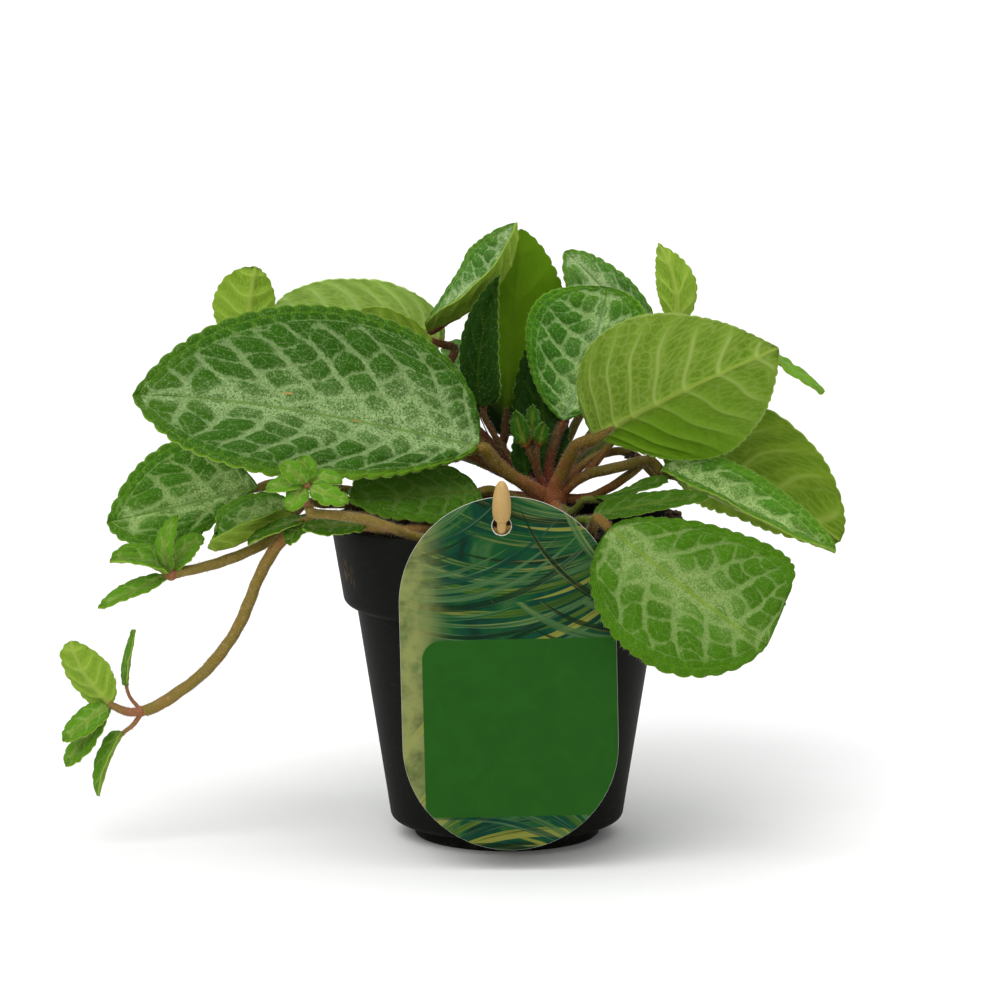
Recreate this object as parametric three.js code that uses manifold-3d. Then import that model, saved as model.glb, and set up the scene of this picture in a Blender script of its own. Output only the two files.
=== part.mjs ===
// A potted flame violet with minty leaves: a trailing foliage plant in a round nursery pot,
// with a hang tag on a wooden peg. Millimetres, +Z up. The origin is the middle of the pot's flat base,
// and the tag faces -Y.
import * as THREE from "three";
import { mergeVertices } from "three/addons/utils/BufferGeometryUtils.js";
import Module from "manifold-3d";

const wasm = await Module();
wasm.setup();

// The pot: a 12 cm nursery pot with a tall stacking collar and a foot set in from its wall.
const POT_RADIUS = 60;
const POT_HEIGHT = 109;
const WALL = 1.5;
const FLOOR = 1.8;
const COLLAR_HEIGHT = 26;
const COLLAR_LOW_RADIUS = 55.7;
const SHOULDER_DROP = 4;
const WALL_TOP_RADIUS = 51.1;
const WALL_LOW_RADIUS = 39.9;
const CORNER = 3;
const LIP = 0.8;
const FOOT_RADIUS = 31.5;
const FOOT_HEIGHT = 5.2;
const FOOT_DRAFT = 0.3;
const DRAIN_HOLES = 6;
const DRAIN_RADIUS = 3.5;
const DRAIN_RING = 21;
const POT_SIDES = 32;

// The soil, and the clearance that every piece keeps from its neighbour.
const GAP = 0.3;
const SOIL_RIM = 100;
const SOIL_MOUND = 3.5;
const SOIL_ROUGHNESS = 0.6;
const SOIL_RINGS = [46, 34, 22, 11, 0];

// The tag: a stadium of laminated card on a peg, leaning a little to one side.
const TAG_WIDTH = 71;
const TAG_HEIGHT = 118;
const TAG_THICKNESS = 0.8;
const TAG_MIDDLE = [0.6, -61, 66.4];
const TAG_LEAN = THREE.MathUtils.degToRad(1.3);
const TAG_HOLE = { x: -1.3, z: 49.4, radius: 3.1 };
const PEG_SLOPE = THREE.MathUtils.degToRad(49);
const PEG_NECK_RADIUS = 1.5;
const PEG_HEAD_RADIUS = 3.05;
const PEG_HEAD_START = 3.4;
const PEG_HEAD_LENGTH = 18.5;
const PEG_REACH = 36;
const PEG_POINT = 7;
const PEG_HOLE_SLACK = 0.6;

// The stem: short and thick, with all the leaf stalks at its top and the runners below them.
const STEM_X = 15;
const STEM_Y = 4;
const STEM_RADIUS = 4;
const STEM_FOOT = 84;
const STEM_TOP = 113;
const STEM_HEAD_RADIUS = 5.5;
// How many stalk radii a stalk runs straight towards its blade, where the leaf's own lead isn't given.
const STALK_LEAD = 2.5;

// Every blade has one formula. Rows run from the midrib forward to the margin, as the side veins do,
// and each second row is a scallop of the margin and a swelling between two veins.
const BLADE_THICKNESS = 0.7;
const BLADE_END = 0.004;
const VEIN_LAG = 0.22;
const SCALLOP = 0.045;
const RELIEF = 0.45;

// Each leaf: where its blade starts, its middle and its tip, the way its upper face looks, its half widths
// left and right of the midrib, how far each half folds up in degrees, where it is widest, how blunt its
// tip is, the rows and columns of its surface, and the bends and radius of its stalk.
const LEAVES = {
  leaf_front_left: {
    base: [-9.6, -13.5, 135.1], mid: [-76.4, -31.5, 150.8], tip: [-123.6, -40, 156.1], face: [0, -84, 54],
    wide: [29.5, 38.1], fold: [16, 12], peak: [0.52, 0.34], point: [0.66, 0.88], rows: 20, columns: 6,
    stalk: [[6, -4, 121], [-3.6, -10, 128.8]], thick: 2.3, lead: 0.6,
  },
  leaf_front_right: {
    base: [29, -6, 137.5], mid: [57.5, -14, 153.8], tip: [90.6, -16, 169.2], face: [10, 85, 50],
    wide: [33.8, 32.4], fold: [8, 8], peak: [0.55, 0.41], point: [0.73, 0.92], rows: 20, columns: 6,
    stalk: [[19, 1, 125]], thick: 2.3,
  },
  leaf_over_rim: {
    base: [33.5, -59, 114.7], mid: [66.3, -70, 90], tip: [84.5, -74, 78.4], face: [10, -95, 40],
    wide: [29.1, 29.6], fold: [6, 6], peak: [0.64, 0.35], point: [0.32, 0.88], rows: 20, columns: 6,
    stalk: [[21, -20, 109.2], [27, -42, 109.6]], thick: 1.7,
  },
  leaf_low_left: {
    base: [-84.5, 2, 119.1], mid: [-104.4, -3, 114.9], tip: [-135.1, -11, 109.1], face: [-15, -90, 45],
    wide: [14.5, 23.2], fold: [8, 8], peak: [0.74, 0.52], point: [0.53, 0.8], rows: 16, columns: 4,
    stalk: [[-6, 8, 116], [-45, 4, 117]], thick: 1.6,
  },
  leaf_low_left_folded: {
    base: [-71, -15, 114.2], mid: [-90, -20.5, 104], tip: [-99.5, -20.5, 102], face: [-45, -45, 75],
    wide: [14, 15], fold: [55, 34], peak: [0.5, 0.36], point: [0.7, 0.6], rows: 12, columns: 4,
    stalk: [[-9, 2, 112], [-45, -5, 114.3], [-62, -10.5, 115.2]], thick: 1.4,
  },
  leaf_upper_left_small: {
    base: [-89, 22, 167], mid: [-88, 24, 180], tip: [-86, 26, 192], face: [20, 85, 35],
    wide: [9, 13.5], fold: [20, 5], peak: [0.45, 0.45], point: [0.6, 0.6], rows: 12, columns: 2,
    stalk: [[-22, 15, 133], [-60, 20, 147]], thick: 1.3,
  },
  leaf_upper_left: {
    base: [-22, 33, 165], mid: [-50, 35, 174.5], tip: [-80, 37, 177], face: [-20, 80, 60],
    wide: [15.5, 14], fold: [8, 8], peak: [0.42, 0.42], point: [0.65, 0.6], rows: 14, columns: 4,
    stalk: [[-7, 15, 134], [-22, 24.5, 152]], thick: 1.5,
  },
  leaf_upper_left_curled: {
    base: [-26, 10, 163], mid: [-39, 12, 170], tip: [-53, 14, 176], face: [0, 30, 90],
    wide: [11, 12], fold: [40, 40], peak: [0.45, 0.45], point: [0.55, 0.55], rows: 12, columns: 4,
    stalk: [[-9, 6, 134]], thick: 1.3,
  },
  leaf_top_folded: {
    base: [-27.5, 21.5, 170.8], mid: [-3.4, 23, 186.3], tip: [2.8, 26, 207.1], face: [-74, -25, 51],
    wide: [17, 15.9], fold: [43, 41], peak: [0.59, 0.3], point: [0.45, 0.8], rows: 14, columns: 4,
    stalk: [[-3, 12, 130], [-13, 19, 148]], thick: 1.4,
  },
  leaf_top_broad: {
    base: [-1, 22, 134], mid: [2, 33.5, 168], tip: [5, 37, 204], face: [-10, 100, 10],
    wide: [21, 16.5], fold: [6, 6], peak: [0.45, 0.45], point: [0.7, 0.7], rows: 16, columns: 4,
    stalk: [[8, 14, 122]], thick: 1.6,
  },
  leaf_centre_young: {
    base: [-8.5, 7.5, 146], mid: [-9, 9.5, 165], tip: [-2.3, 13, 190.5], face: [-40, -90, 10],
    wide: [7.6, 11.4], fold: [42, 25], peak: [0.53, 0.23], point: [0.76, 0.94], rows: 14, columns: 4,
    stalk: [[3, 5, 126]], thick: 1.1,
  },
  leaf_centre_dark: {
    base: [13, 9.8, 122.2], mid: [12.5, 18, 140], tip: [11, 26, 168], face: [-5, -95, 20],
    wide: [11, 9], fold: [8, 8], peak: [0.46, 0.46], point: [0.5, 0.5], rows: 8, columns: 4,
    stalk: [[14, 7.5, 118.5]], thick: 1.2,
  },
  leaf_centre_right: {
    base: [19.3, 12, 140.5], mid: [29.3, 18, 165.7], tip: [34.4, 23, 185.2], face: [-20, -90, 30],
    wide: [24.3, 19.2], fold: [12, 12], peak: [0.57, 0.6], point: [0.44, 0.52], rows: 16, columns: 4,
    stalk: [[14.3, 6.5, 125]], thick: 1.6,
  },
  leaf_top_right: {
    base: [50, 34.5, 161], mid: [36, 38, 180], tip: [20, 40, 196], face: [-20, -70, 70],
    wide: [14, 9.5], fold: [8, 8], peak: [0.42, 0.42], point: [0.6, 0.6], rows: 12, columns: 4,
    stalk: [[25, 14, 130], [37, 26, 145]], thick: 1.4,
  },
  leaf_top_right_small: {
    base: [56.5, 26, 169.7], mid: [58, 28, 183.7], tip: [51.8, 30, 199.7], face: [-30, 90, 30],
    wide: [8.3, 6.6], fold: [10, 10], peak: [0.49, 0.52], point: [0.98, 0.82], rows: 10, columns: 2,
    stalk: [[28, 8, 124], [45, 17, 147]], thick: 1.3,
  },
  leaf_right_edge: {
    base: [91, 20, 162], mid: [100, 21, 155], tip: [109, 22, 149], face: [25, -16, 90],
    wide: [8, 8], fold: [5, 5], peak: [0.45, 0.45], point: [0.55, 0.55], rows: 10, columns: 2,
    stalk: [[29, 9, 115], [46, 8, 126], [74, 11, 156]], thick: 1.5,
  },
  leaf_right_back: {
    base: [55.8, 22, 121.9], mid: [79, 26, 121], tip: [115.6, 27, 96.9], face: [40, 85, 40],
    wide: [21.1, 29.3], fold: [5, 5], peak: [0.54, 0.45], point: [0.53, 0.6], rows: 16, columns: 4,
    stalk: [[22, 8, 122], [30, 12, 128], [42, 17, 129]], thick: 1.4,
  },
  leaf_right_pointed: {
    base: [53, 6.5, 125], mid: [79, 2.5, 112], tip: [112, 0.5, 97.2], face: [40, -50, 80],
    wide: [14, 20.5], fold: [40, 35], peak: [0.42, 0.42], point: [0.62, 0.62], rows: 16, columns: 4,
    stalk: [[26, 3.5, 122.6], [38, 4.5, 125.6]], thick: 1.8,
  },
  leaf_low_right: {
    base: [29, -24, 112.8], mid: [47.4, -34, 118.5], tip: [66.5, -40, 121.9], face: [0, -45, 90],
    wide: [6.8, 9.3], fold: [17, 15], peak: [0.2, 0.25], point: [0.42, 0.4], rows: 12, columns: 4,
    stalk: [[21, -14, 110]], thick: 1.4,
  },
  leaf_low_right_small: {
    base: [30, -5, 116.5], mid: [43.5, -4, 119.1], tip: [54.3, -2, 123], face: [0, -25, 97],
    wide: [5.3, 8.2], fold: [7, 17], peak: [0.76, 0.37], point: [0.78, 0.32], rows: 10, columns: 2,
    stalk: [[22, -1, 111]], thick: 1.2,
  },
  leaf_under_left: {
    base: [-10, -12, 120], mid: [-31, -24, 120], tip: [-52, -36, 121], face: [0, -60, 80],
    wide: [17, 17], fold: [8, 8], peak: [0.42, 0.42], point: [0.55, 0.55], rows: 12, columns: 4,
    stalk: [[4, -4, 116]], thick: 1.5,
  },
  leaf_back_left: {
    base: [-23, 35, 131], mid: [-48, 62, 136], tip: [-78, 90, 134], face: [-20, 30, 90],
    wide: [22, 22], fold: [10, 10], peak: [0.42, 0.42], point: [0.55, 0.55], rows: 12, columns: 4,
    stalk: [[-6, 20, 126]], thick: 1.5,
  },
  leaf_back_middle: {
    base: [-1, 40, 144], mid: [-2, 75, 154], tip: [-4, 108, 154], face: [0, 50, 85],
    wide: [22, 22], fold: [10, 10], peak: [0.42, 0.42], point: [0.55, 0.55], rows: 12, columns: 4,
    stalk: [[5, 24, 132]], thick: 1.5,
  },
  leaf_back_right: {
    base: [29, 42, 144], mid: [42, 75, 150], tip: [57, 105, 147], face: [20, 40, 85],
    wide: [20, 20], fold: [10, 10], peak: [0.42, 0.42], point: [0.55, 0.55], rows: 12, columns: 4,
    stalk: [[21, 24, 132]], thick: 1.5,
  },
  leaf_back_far_right: {
    base: [46, 35, 134], mid: [68, 58, 139], tip: [87, 80, 136], face: [40, 30, 85],
    wide: [20, 20], fold: [10, 10], peak: [0.42, 0.42], point: [0.55, 0.55], rows: 12, columns: 4,
    stalk: [[30, 20, 129]], thick: 1.5,
  },
  leaf_back_far_left: {
    base: [-37, 20, 126], mid: [-68, 40, 127], tip: [-101, 60, 124], face: [-40, 20, 90],
    wide: [20, 20], fold: [10, 10], peak: [0.42, 0.42], point: [0.55, 0.55], rows: 12, columns: 4,
    stalk: [[-12, 13, 130]], thick: 1.5,
  },
  leaf_back_low_left: {
    base: [-18, 45, 124], mid: [-31, 75, 120], tip: [-42, 100, 112], face: [-10, 40, 90],
    wide: [18, 18], fold: [10, 10], peak: [0.42, 0.42], point: [0.55, 0.55], rows: 10, columns: 4,
    stalk: [[-2, 24, 121]], thick: 1.5,
  },
  leaf_back_low_right: {
    base: [36, 48, 130], mid: [55, 75, 131], tip: [70, 102, 122], face: [20, 40, 90],
    wide: [18, 18], fold: [10, 10], peak: [0.42, 0.42], point: [0.55, 0.55], rows: 10, columns: 4,
    stalk: [[25, 26, 127]], thick: 1.5,
  },
  bud_back: {
    base: [6.8, 3, 123], mid: [5.6, 3.4, 130], tip: [4.4, 3.4, 138], face: [-10, -90, 10],
    wide: [4.5, 2.8], fold: [15, 15], peak: [0.45, 0.45], point: [0.65, 0.65], rows: 6, columns: 2,
    stalk: [[11, 3, 118]], thick: 0.9,
  },
  bud_left: {
    base: [7, -0.6, 133], mid: [4.5, -1.2, 139.5], tip: [3, -1.5, 146], face: [-20, -90, 30],
    wide: [3.4, 3.4], fold: [15, 15], peak: [0.45, 0.45], point: [0.75, 0.75], rows: 6, columns: 2,
    stalk: [[11.2, 1.7, 122]], thick: 1.1,
  },
  bud_middle: {
    base: [8.8, 1.6, 134.5], mid: [8.6, 1.9, 141], tip: [8.8, 2.1, 147.5], face: [-10, -90, 30],
    wide: [3.2, 3.2], fold: [15, 15], peak: [0.45, 0.45], point: [0.75, 0.75], rows: 6, columns: 2,
    stalk: [[11.4, 2, 122]], thick: 0.9,
  },
  bud_right: {
    base: [10.7, -1, 133.6], mid: [11.6, -1.4, 137.8], tip: [12.1, -1.6, 142], face: [10, -90, 30],
    wide: [2.6, 2.6], fold: [15, 15], peak: [0.45, 0.45], point: [0.75, 0.75], rows: 6, columns: 2,
    stalk: [[11.6, 1.5, 122]], thick: 0.9,
  },
};

// The leaves of the plantlets, and those along a runner, share these lesser sizes.
const SMALL = { fold: [12, 12], peak: [0.45, 0.45], point: [0.55, 0.55], rows: 8, columns: 2 };
const small = (base, mid, tip, face, wide, fold = [12, 12]) => ({ ...SMALL, base, mid, tip, face, wide, fold });
const tiny = (base, mid, tip, face) => ({ ...SMALL, base, mid, tip, face, wide: [4, 4], rows: 6 });

// A plantlet sits at the end of each runner: a knuckle, short stalks and a few small leaves.
const PLANTLETS = {
  plantlet_long: {
    knuckle: [-123.3, -24.4, 46.7],
    knuckleRadius: 1.9,
    stalks: [
      { path: [[-122, -24.3, 46.8], [-127, -25, 46.6], [-134, -26, 49.5]], thick: 1.5 },
      { path: [[-123, -24, 46.7], [-127, -23, 51.5], [-128.5, -22, 56]], thick: 0.7 },
      { path: [[-123, -24, 46.3], [-125.5, -24, 42.5], [-129.7, -24, 39]], thick: 0.9 },
    ],
    leaves: [
      small([-133, -26, 49.5], [-141.5, -27, 60], [-146, -28, 71.5], [35, 85, 40], [9.5, 9.5]),
      small([-134, -26, 48.5], [-141, -29, 44], [-149, -32, 38], [-20, -70, 70], [5.5, 5.5]),
      small([-134, -25.5, 48.6], [-142, -26, 37], [-148.5, -28, 28.5], [-40, -75, 50], [5, 5]),
      small([-129.5, -24, 39.5], [-134, -25, 31], [-138, -26, 18], [-80, -35, 30], [5, 6], [30, 30]),
      small([-128.5, -22, 55], [-127.5, -21, 63], [-125.5, -20, 74], [-90, -25, 20], [5, 5]),
    ],
  },
  plantlet_middle: {
    knuckle: [-112.6, -23.9, 93.4],
    knuckleRadius: 2.2,
    stalks: [{ path: [[-111, -23.7, 93.8], [-112.6, -23.9, 93.3], [-115, -24.5, 93]], thick: 1.7 }],
    leaves: [
      small([-114, -24.5, 93.9], [-122, -28, 98], [-132.5, -31, 99], [-10, -45, 90], [7, 8], [30, 30]),
      small([-114.4, -24.7, 92.4], [-124, -28.5, 88.5], [-136.5, -32.5, 83.5], [-35, -60, 70], [3.2, 5.2]),
      small([-112.7, -24.8, 94.6], [-114, -30, 104.8], [-109.5, -31, 114.6], [-30, -90, 20], [3.6, 3.6]),
      small([-112.1, -23.5, 94.8], [-107.5, -22.5, 101.5], [-101.5, -21.5, 105.5], [-30, -70, 60], [5, 5]),
    ],
  },
  plantlet_short: {
    knuckle: [-65.6, -56.2, 128.2],
    knuckleRadius: 1.5,
    stalks: [{ path: [[-65, -54.5, 121.2], [-66, -55, 124], [-65.6, -56.2, 128]], thick: 1 }],
    leaves: [
      tiny([-66.3, -57.1, 129.2], [-69, -60.5, 133], [-74, -62.5, 136], [-20, -90, 40]),
      tiny([-65.7, -55.8, 129.6], [-66, -54, 133.5], [-68, -53, 137.5], [0, -90, 30]),
      tiny([-64.3, -56.8, 127.8], [-58, -60, 125.5], [-51.5, -60, 124], [10, -85, 50]),
      tiny([-64.3, -55.8, 128.8], [-59.5, -54, 130.5], [-54, -53, 128.5], [10, -60, 80]),
      tiny([-66.4, -57.1, 127.3], [-69, -60, 124.5], [-72, -61, 121], [-20, -90, 40]),
      tiny([-67, -56.6, 128.4], [-72.5, -58.5, 129], [-79, -60, 127], [-10, -60, 80]),
    ],
  },
};

// The runners: slack stems that lie over the rim and hang free outside it.
const RUNNERS = {
  runner_long: {
    thick: 2,
    path: [
      [11, 1.2, 108.8], [-5, -12, 111], [-22, -30, 111], [-34, -38, 110.5], [-45.5, -35, 111.5],
      [-55.5, -30, 113], [-67.5, -28, 111.5], [-76.5, -27, 104], [-82.7, -26, 93.5], [-86.5, -25, 84],
      [-90.3, -25, 75.5], [-96, -25, 67], [-103, -24, 59], [-111.5, -24, 52.5],
      [-117.5, -24, 48.6], [-121, -24.2, 47.2],
    ],
    steps: 30,
    leaves: [
      small([-67, -28, 112], [-76.5, -28, 109.5], [-86.5, -30, 104.5], [-35, -20, 95], [6, 6]),
      small([-67, -28.5, 112], [-70, -31, 109], [-73, -33, 105], [-60, -60, 40], [5, 5]),
      small([-47, -35, 112], [-58, -40, 112], [-67.5, -44, 112], [0, -60, 80], [5, 5]),
    ],
  },
  runner_middle: {
    thick: 1.8,
    path: [
      [10.7, 3.6, 106.2], [-9, -2, 108.5], [-29, -5, 109.5], [-46.5, -8, 110.5], [-59.5, -12, 111.5],
      [-69, -14, 110.3], [-77, -16, 105.3], [-86, -18.5, 100.7], [-99, -21.8, 96.3], [-109.6, -23.5, 94.1],
    ],
    steps: 24,
    leaves: [],
  },
  runner_short: {
    thick: 1.6,
    path: [
      [13.5, -0.2, 106.2], [-1, -14, 106.5], [-18, -32, 106.5], [-31, -41, 109],
      [-39, -45.5, 113], [-46, -48.5, 115.8], [-55, -51, 117.5], [-64.5, -54, 119.3],
    ],
    steps: 18,
    leaves: [],
  },
};

const vector = (list) => new THREE.Vector3(...list);

// A geometry as a manifold-3d solid, and back.
function solidOf(geometry) {
  const bare = new THREE.BufferGeometry();
  bare.setAttribute("position", geometry.getAttribute("position"));
  bare.setIndex(geometry.index);
  const merged = mergeVertices(bare, 1e-4);
  return new wasm.Manifold(
    new wasm.Mesh({
      numProp: 3,
      vertProperties: new Float32Array(merged.attributes.position.array),
      triVerts: new Uint32Array(merged.index.array),
    }),
  );
}

function geometryOf(solid) {
  const mesh = solid.getMesh();
  const geometry = new THREE.BufferGeometry();
  geometry.setAttribute("position", new THREE.BufferAttribute(new Float32Array(mesh.vertProperties), 3));
  geometry.setIndex(new THREE.BufferAttribute(new Uint32Array(mesh.triVerts), 1));
  geometry.computeVertexNormals();
  return geometry;
}

const fuse = (geometries) => geometryOf(geometries.map(solidOf).reduce((whole, one) => whole.add(one)));
const carve = (geometry, cutters) =>
  geometryOf(cutters.map(solidOf).reduce((whole, one) => whole.subtract(one), solidOf(geometry)));

// A lathe profile is a list of [radius, height] pairs, turned about Z.
function turned(profile, sides) {
  const lathe = new THREE.LatheGeometry(
    profile.map(([radius, height]) => new THREE.Vector2(radius, height)),
    sides,
  );
  return lathe.rotateX(Math.PI / 2);
}

const upright = (radius, length, sides) =>
  new THREE.CylinderGeometry(radius, radius, length, sides).rotateX(Math.PI / 2);

// An arc of a profile from one angle to another, in degrees.
function arc(centreRadius, centreHeight, radius, from, to, steps) {
  return Array.from({ length: steps + 1 }, (_, i) => {
    const angle = THREE.MathUtils.degToRad(from + ((to - from) * i) / steps);
    return [centreRadius + radius * Math.cos(angle), centreHeight + radius * Math.sin(angle)];
  });
}

// A stem along a smooth path.
function tube(points, radius, steps, sides = 6) {
  const section = new THREE.Shape(
    Array.from({ length: sides }, (_, i) => {
      const angle = (2 * Math.PI * i) / sides;
      return new THREE.Vector2(radius * Math.cos(angle), radius * Math.sin(angle));
    }),
  );
  const extrudePath = new THREE.CatmullRomCurve3(points.map(vector), false, "centripetal");
  return new THREE.ExtrudeGeometry(section, { steps, extrudePath });
}

const COLLAR_LOW = POT_HEIGHT - COLLAR_HEIGHT;
const WALL_TOP = COLLAR_LOW - SHOULDER_DROP;
const LEDGE = FOOT_HEIGHT + WALL;
const LEDGE_RADIUS = WALL_LOW_RADIUS - WALL - 2;

function potGeometry() {
  const outside = [
    [0, 0],
    [FOOT_RADIUS, 0],
    [FOOT_RADIUS + FOOT_DRAFT, FOOT_HEIGHT],
    ...arc(WALL_LOW_RADIUS - CORNER, FOOT_HEIGHT + CORNER, CORNER, -90, -8, 2),
    [WALL_TOP_RADIUS, WALL_TOP],
    ...arc(COLLAR_LOW_RADIUS - CORNER, COLLAR_LOW, CORNER, -70, -8, 2),
    [POT_RADIUS, POT_HEIGHT - LIP],
    [POT_RADIUS - LIP / 2, POT_HEIGHT],
  ];
  const inside = [
    [POT_RADIUS - WALL, POT_HEIGHT],
    [COLLAR_LOW_RADIUS - WALL, COLLAR_LOW],
    [WALL_TOP_RADIUS - WALL, WALL_TOP],
    [WALL_LOW_RADIUS - WALL, FOOT_HEIGHT + CORNER],
    [LEDGE_RADIUS, LEDGE],
    [FOOT_RADIUS - WALL, LEDGE],
    [FOOT_RADIUS - WALL, FLOOR],
    [0, FLOOR],
  ];
  const drains = Array.from({ length: DRAIN_HOLES }, (_, i) => {
    const angle = (2 * Math.PI * (i + 0.5)) / DRAIN_HOLES;
    const place = [DRAIN_RING * Math.cos(angle), DRAIN_RING * Math.sin(angle), 0];
    return upright(DRAIN_RADIUS, 2 * FLOOR + 1, 8).translate(...place);
  });
  return carve(turned([...outside, ...inside], POT_SIDES), drains);
}

// The soil fills the pot down to its floor, mounds up a little beside the stem, and is crumbly on top.
function soilGeometry() {
  const wallAt = (height) =>
    THREE.MathUtils.mapLinear(height, COLLAR_LOW, POT_HEIGHT, COLLAR_LOW_RADIUS, POT_RADIUS) - WALL - GAP;
  const profile = [
    [0, FLOOR + GAP],
    [FOOT_RADIUS - WALL - GAP, FLOOR + GAP],
    [FOOT_RADIUS - WALL - GAP, LEDGE + GAP],
    [LEDGE_RADIUS - GAP, LEDGE + GAP],
    [WALL_LOW_RADIUS - WALL - GAP, FOOT_HEIGHT + CORNER + GAP],
    [WALL_TOP_RADIUS - WALL - GAP, WALL_TOP],
    [COLLAR_LOW_RADIUS - WALL - GAP, COLLAR_LOW],
    [wallAt(SOIL_RIM), SOIL_RIM],
    ...SOIL_RINGS.map((radius) => [radius, SOIL_RIM + GAP]),
  ];
  const soil = turned(profile, POT_SIDES);
  const place = soil.attributes.position;
  for (let i = 0; i < place.count; i++) {
    if (place.getZ(i) <= SOIL_RIM + GAP / 2) continue;
    const x = place.getX(i);
    const y = place.getY(i);
    const fromMound = Math.hypot(x - STEM_X / 2, y - STEM_Y) / (POT_RADIUS / 2);
    const crumb = Math.sin(x * 0.61 + y * 0.23) * Math.cos(y * 0.47 - x * 0.19);
    place.setZ(i, SOIL_RIM + SOIL_MOUND * Math.exp(-(fromMound ** 2)) + SOIL_ROUGHNESS * crumb);
  }
  const drillLength = 40;
  const stemHole = upright(STEM_RADIUS + GAP + 0.1, drillLength, 16);
  stemHole.translate(STEM_X, STEM_Y, STEM_FOOT - GAP + drillLength / 2);
  const pegHole = upright(PEG_NECK_RADIUS + PEG_HOLE_SLACK, drillLength, 12);
  pegHole.translate(0, 0, drillLength / 2 - PEG_REACH - 1);
  return carve(soil, [stemHole, placePeg(pegHole)]);
}

// The peg's own axis is Z, with the tag at zero. In place its head leans out over the rim
// and its point runs down through the tag's hole into the soil.
const TAG_HOLE_PLACE = vector([TAG_HOLE.x, 0, TAG_HOLE.z])
  .applyAxisAngle(vector([0, 1, 0]), -TAG_LEAN)
  .add(vector(TAG_MIDDLE));

const placePeg = (geometry) => geometry.rotateX(Math.PI / 2 - PEG_SLOPE).translate(...TAG_HOLE_PLACE);

function pegGeometry() {
  const headTop = PEG_HEAD_START + PEG_HEAD_LENGTH;
  const profile = [
    [0, -PEG_REACH],
    [PEG_NECK_RADIUS / 3, -PEG_REACH],
    [PEG_NECK_RADIUS, PEG_POINT - PEG_REACH],
    [PEG_NECK_RADIUS, PEG_HEAD_START],
    [PEG_HEAD_RADIUS * 0.9, PEG_HEAD_START + 1],
    [PEG_HEAD_RADIUS, PEG_HEAD_START + 3],
    [PEG_HEAD_RADIUS, headTop - 6],
    [PEG_HEAD_RADIUS * 0.8, headTop - 2.4],
    [PEG_HEAD_RADIUS * 0.45, headTop - 0.6],
    [0, headTop],
  ];
  return placePeg(turned(profile, 12));
}

function tagGeometry() {
  const radius = TAG_WIDTH / 2;
  const straight = TAG_HEIGHT / 2 - radius;
  const outline = new THREE.Shape();
  outline.absarc(0, straight, radius, 0, Math.PI, false);
  outline.absarc(0, -straight, radius, Math.PI, 2 * Math.PI, false);
  const hole = new THREE.Path();
  hole.absarc(TAG_HOLE.x, TAG_HOLE.z, TAG_HOLE.radius, 0, 2 * Math.PI, true);
  outline.holes.push(hole);
  const card = new THREE.ExtrudeGeometry(outline, {
    depth: TAG_THICKNESS,
    bevelEnabled: false,
    curveSegments: 12,
  });
  card.translate(0, 0, -TAG_THICKNESS / 2).rotateX(Math.PI / 2).rotateY(-TAG_LEAN);
  return card.translate(...TAG_MIDDLE);
}

// How wide a blade is at s, from 0 at its base to 1 at its tip, as a share of its greatest half width.
function widthShare(s, peak, point) {
  const start = (point * peak) / (1 - peak);
  return (s / peak) ** start * ((1 - s) / (1 - peak)) ** point;
}

// The midrib is a parabola through the leaf's base, middle and tip.
function midribOf(leaf) {
  const [base, mid, tip] = [leaf.base, leaf.mid, leaf.tip].map(vector);
  const control = mid.clone().multiplyScalar(2).addScaledVector(base, -0.5).addScaledVector(tip, -0.5);
  return new THREE.QuadraticBezierCurve3(base, control, tip);
}

// A point of the blade: s goes along the margin from base to tip, t from -1 at the left margin to 1.
function bladePoint(leaf, midrib, s, t) {
  const across = Math.abs(t);
  const side = t < 0 ? 0 : 1;
  const lag = VEIN_LAG * Math.sin(Math.PI * s) * (1 - 0.3 * s) * (1 - across ** 1.2);
  const along = midrib.getTangent(s - lag);
  const up = vector(leaf.face).projectOnPlane(along).normalize();
  const out = new THREE.Vector3().crossVectors(along, up).multiplyScalar(Math.sign(t));
  const wave = Math.cos((Math.PI / 2) * leaf.rows * s);
  const scallop = 1 - SCALLOP * across ** 6 * (2 * wave ** 2 - 1);
  const half = leaf.wide[side] * widthShare(s, leaf.peak[side], leaf.point[side]) * scallop * across;
  const fold = THREE.MathUtils.degToRad(leaf.fold[side]);
  const relief = leaf.columns > 2 ? 4 * RELIEF * wave * across * (1 - across) : 0;
  return midrib
    .getPoint(s - lag)
    .addScaledVector(out, half * Math.cos(fold))
    .addScaledVector(up, half * Math.sin(fold) + relief);
}

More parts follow.
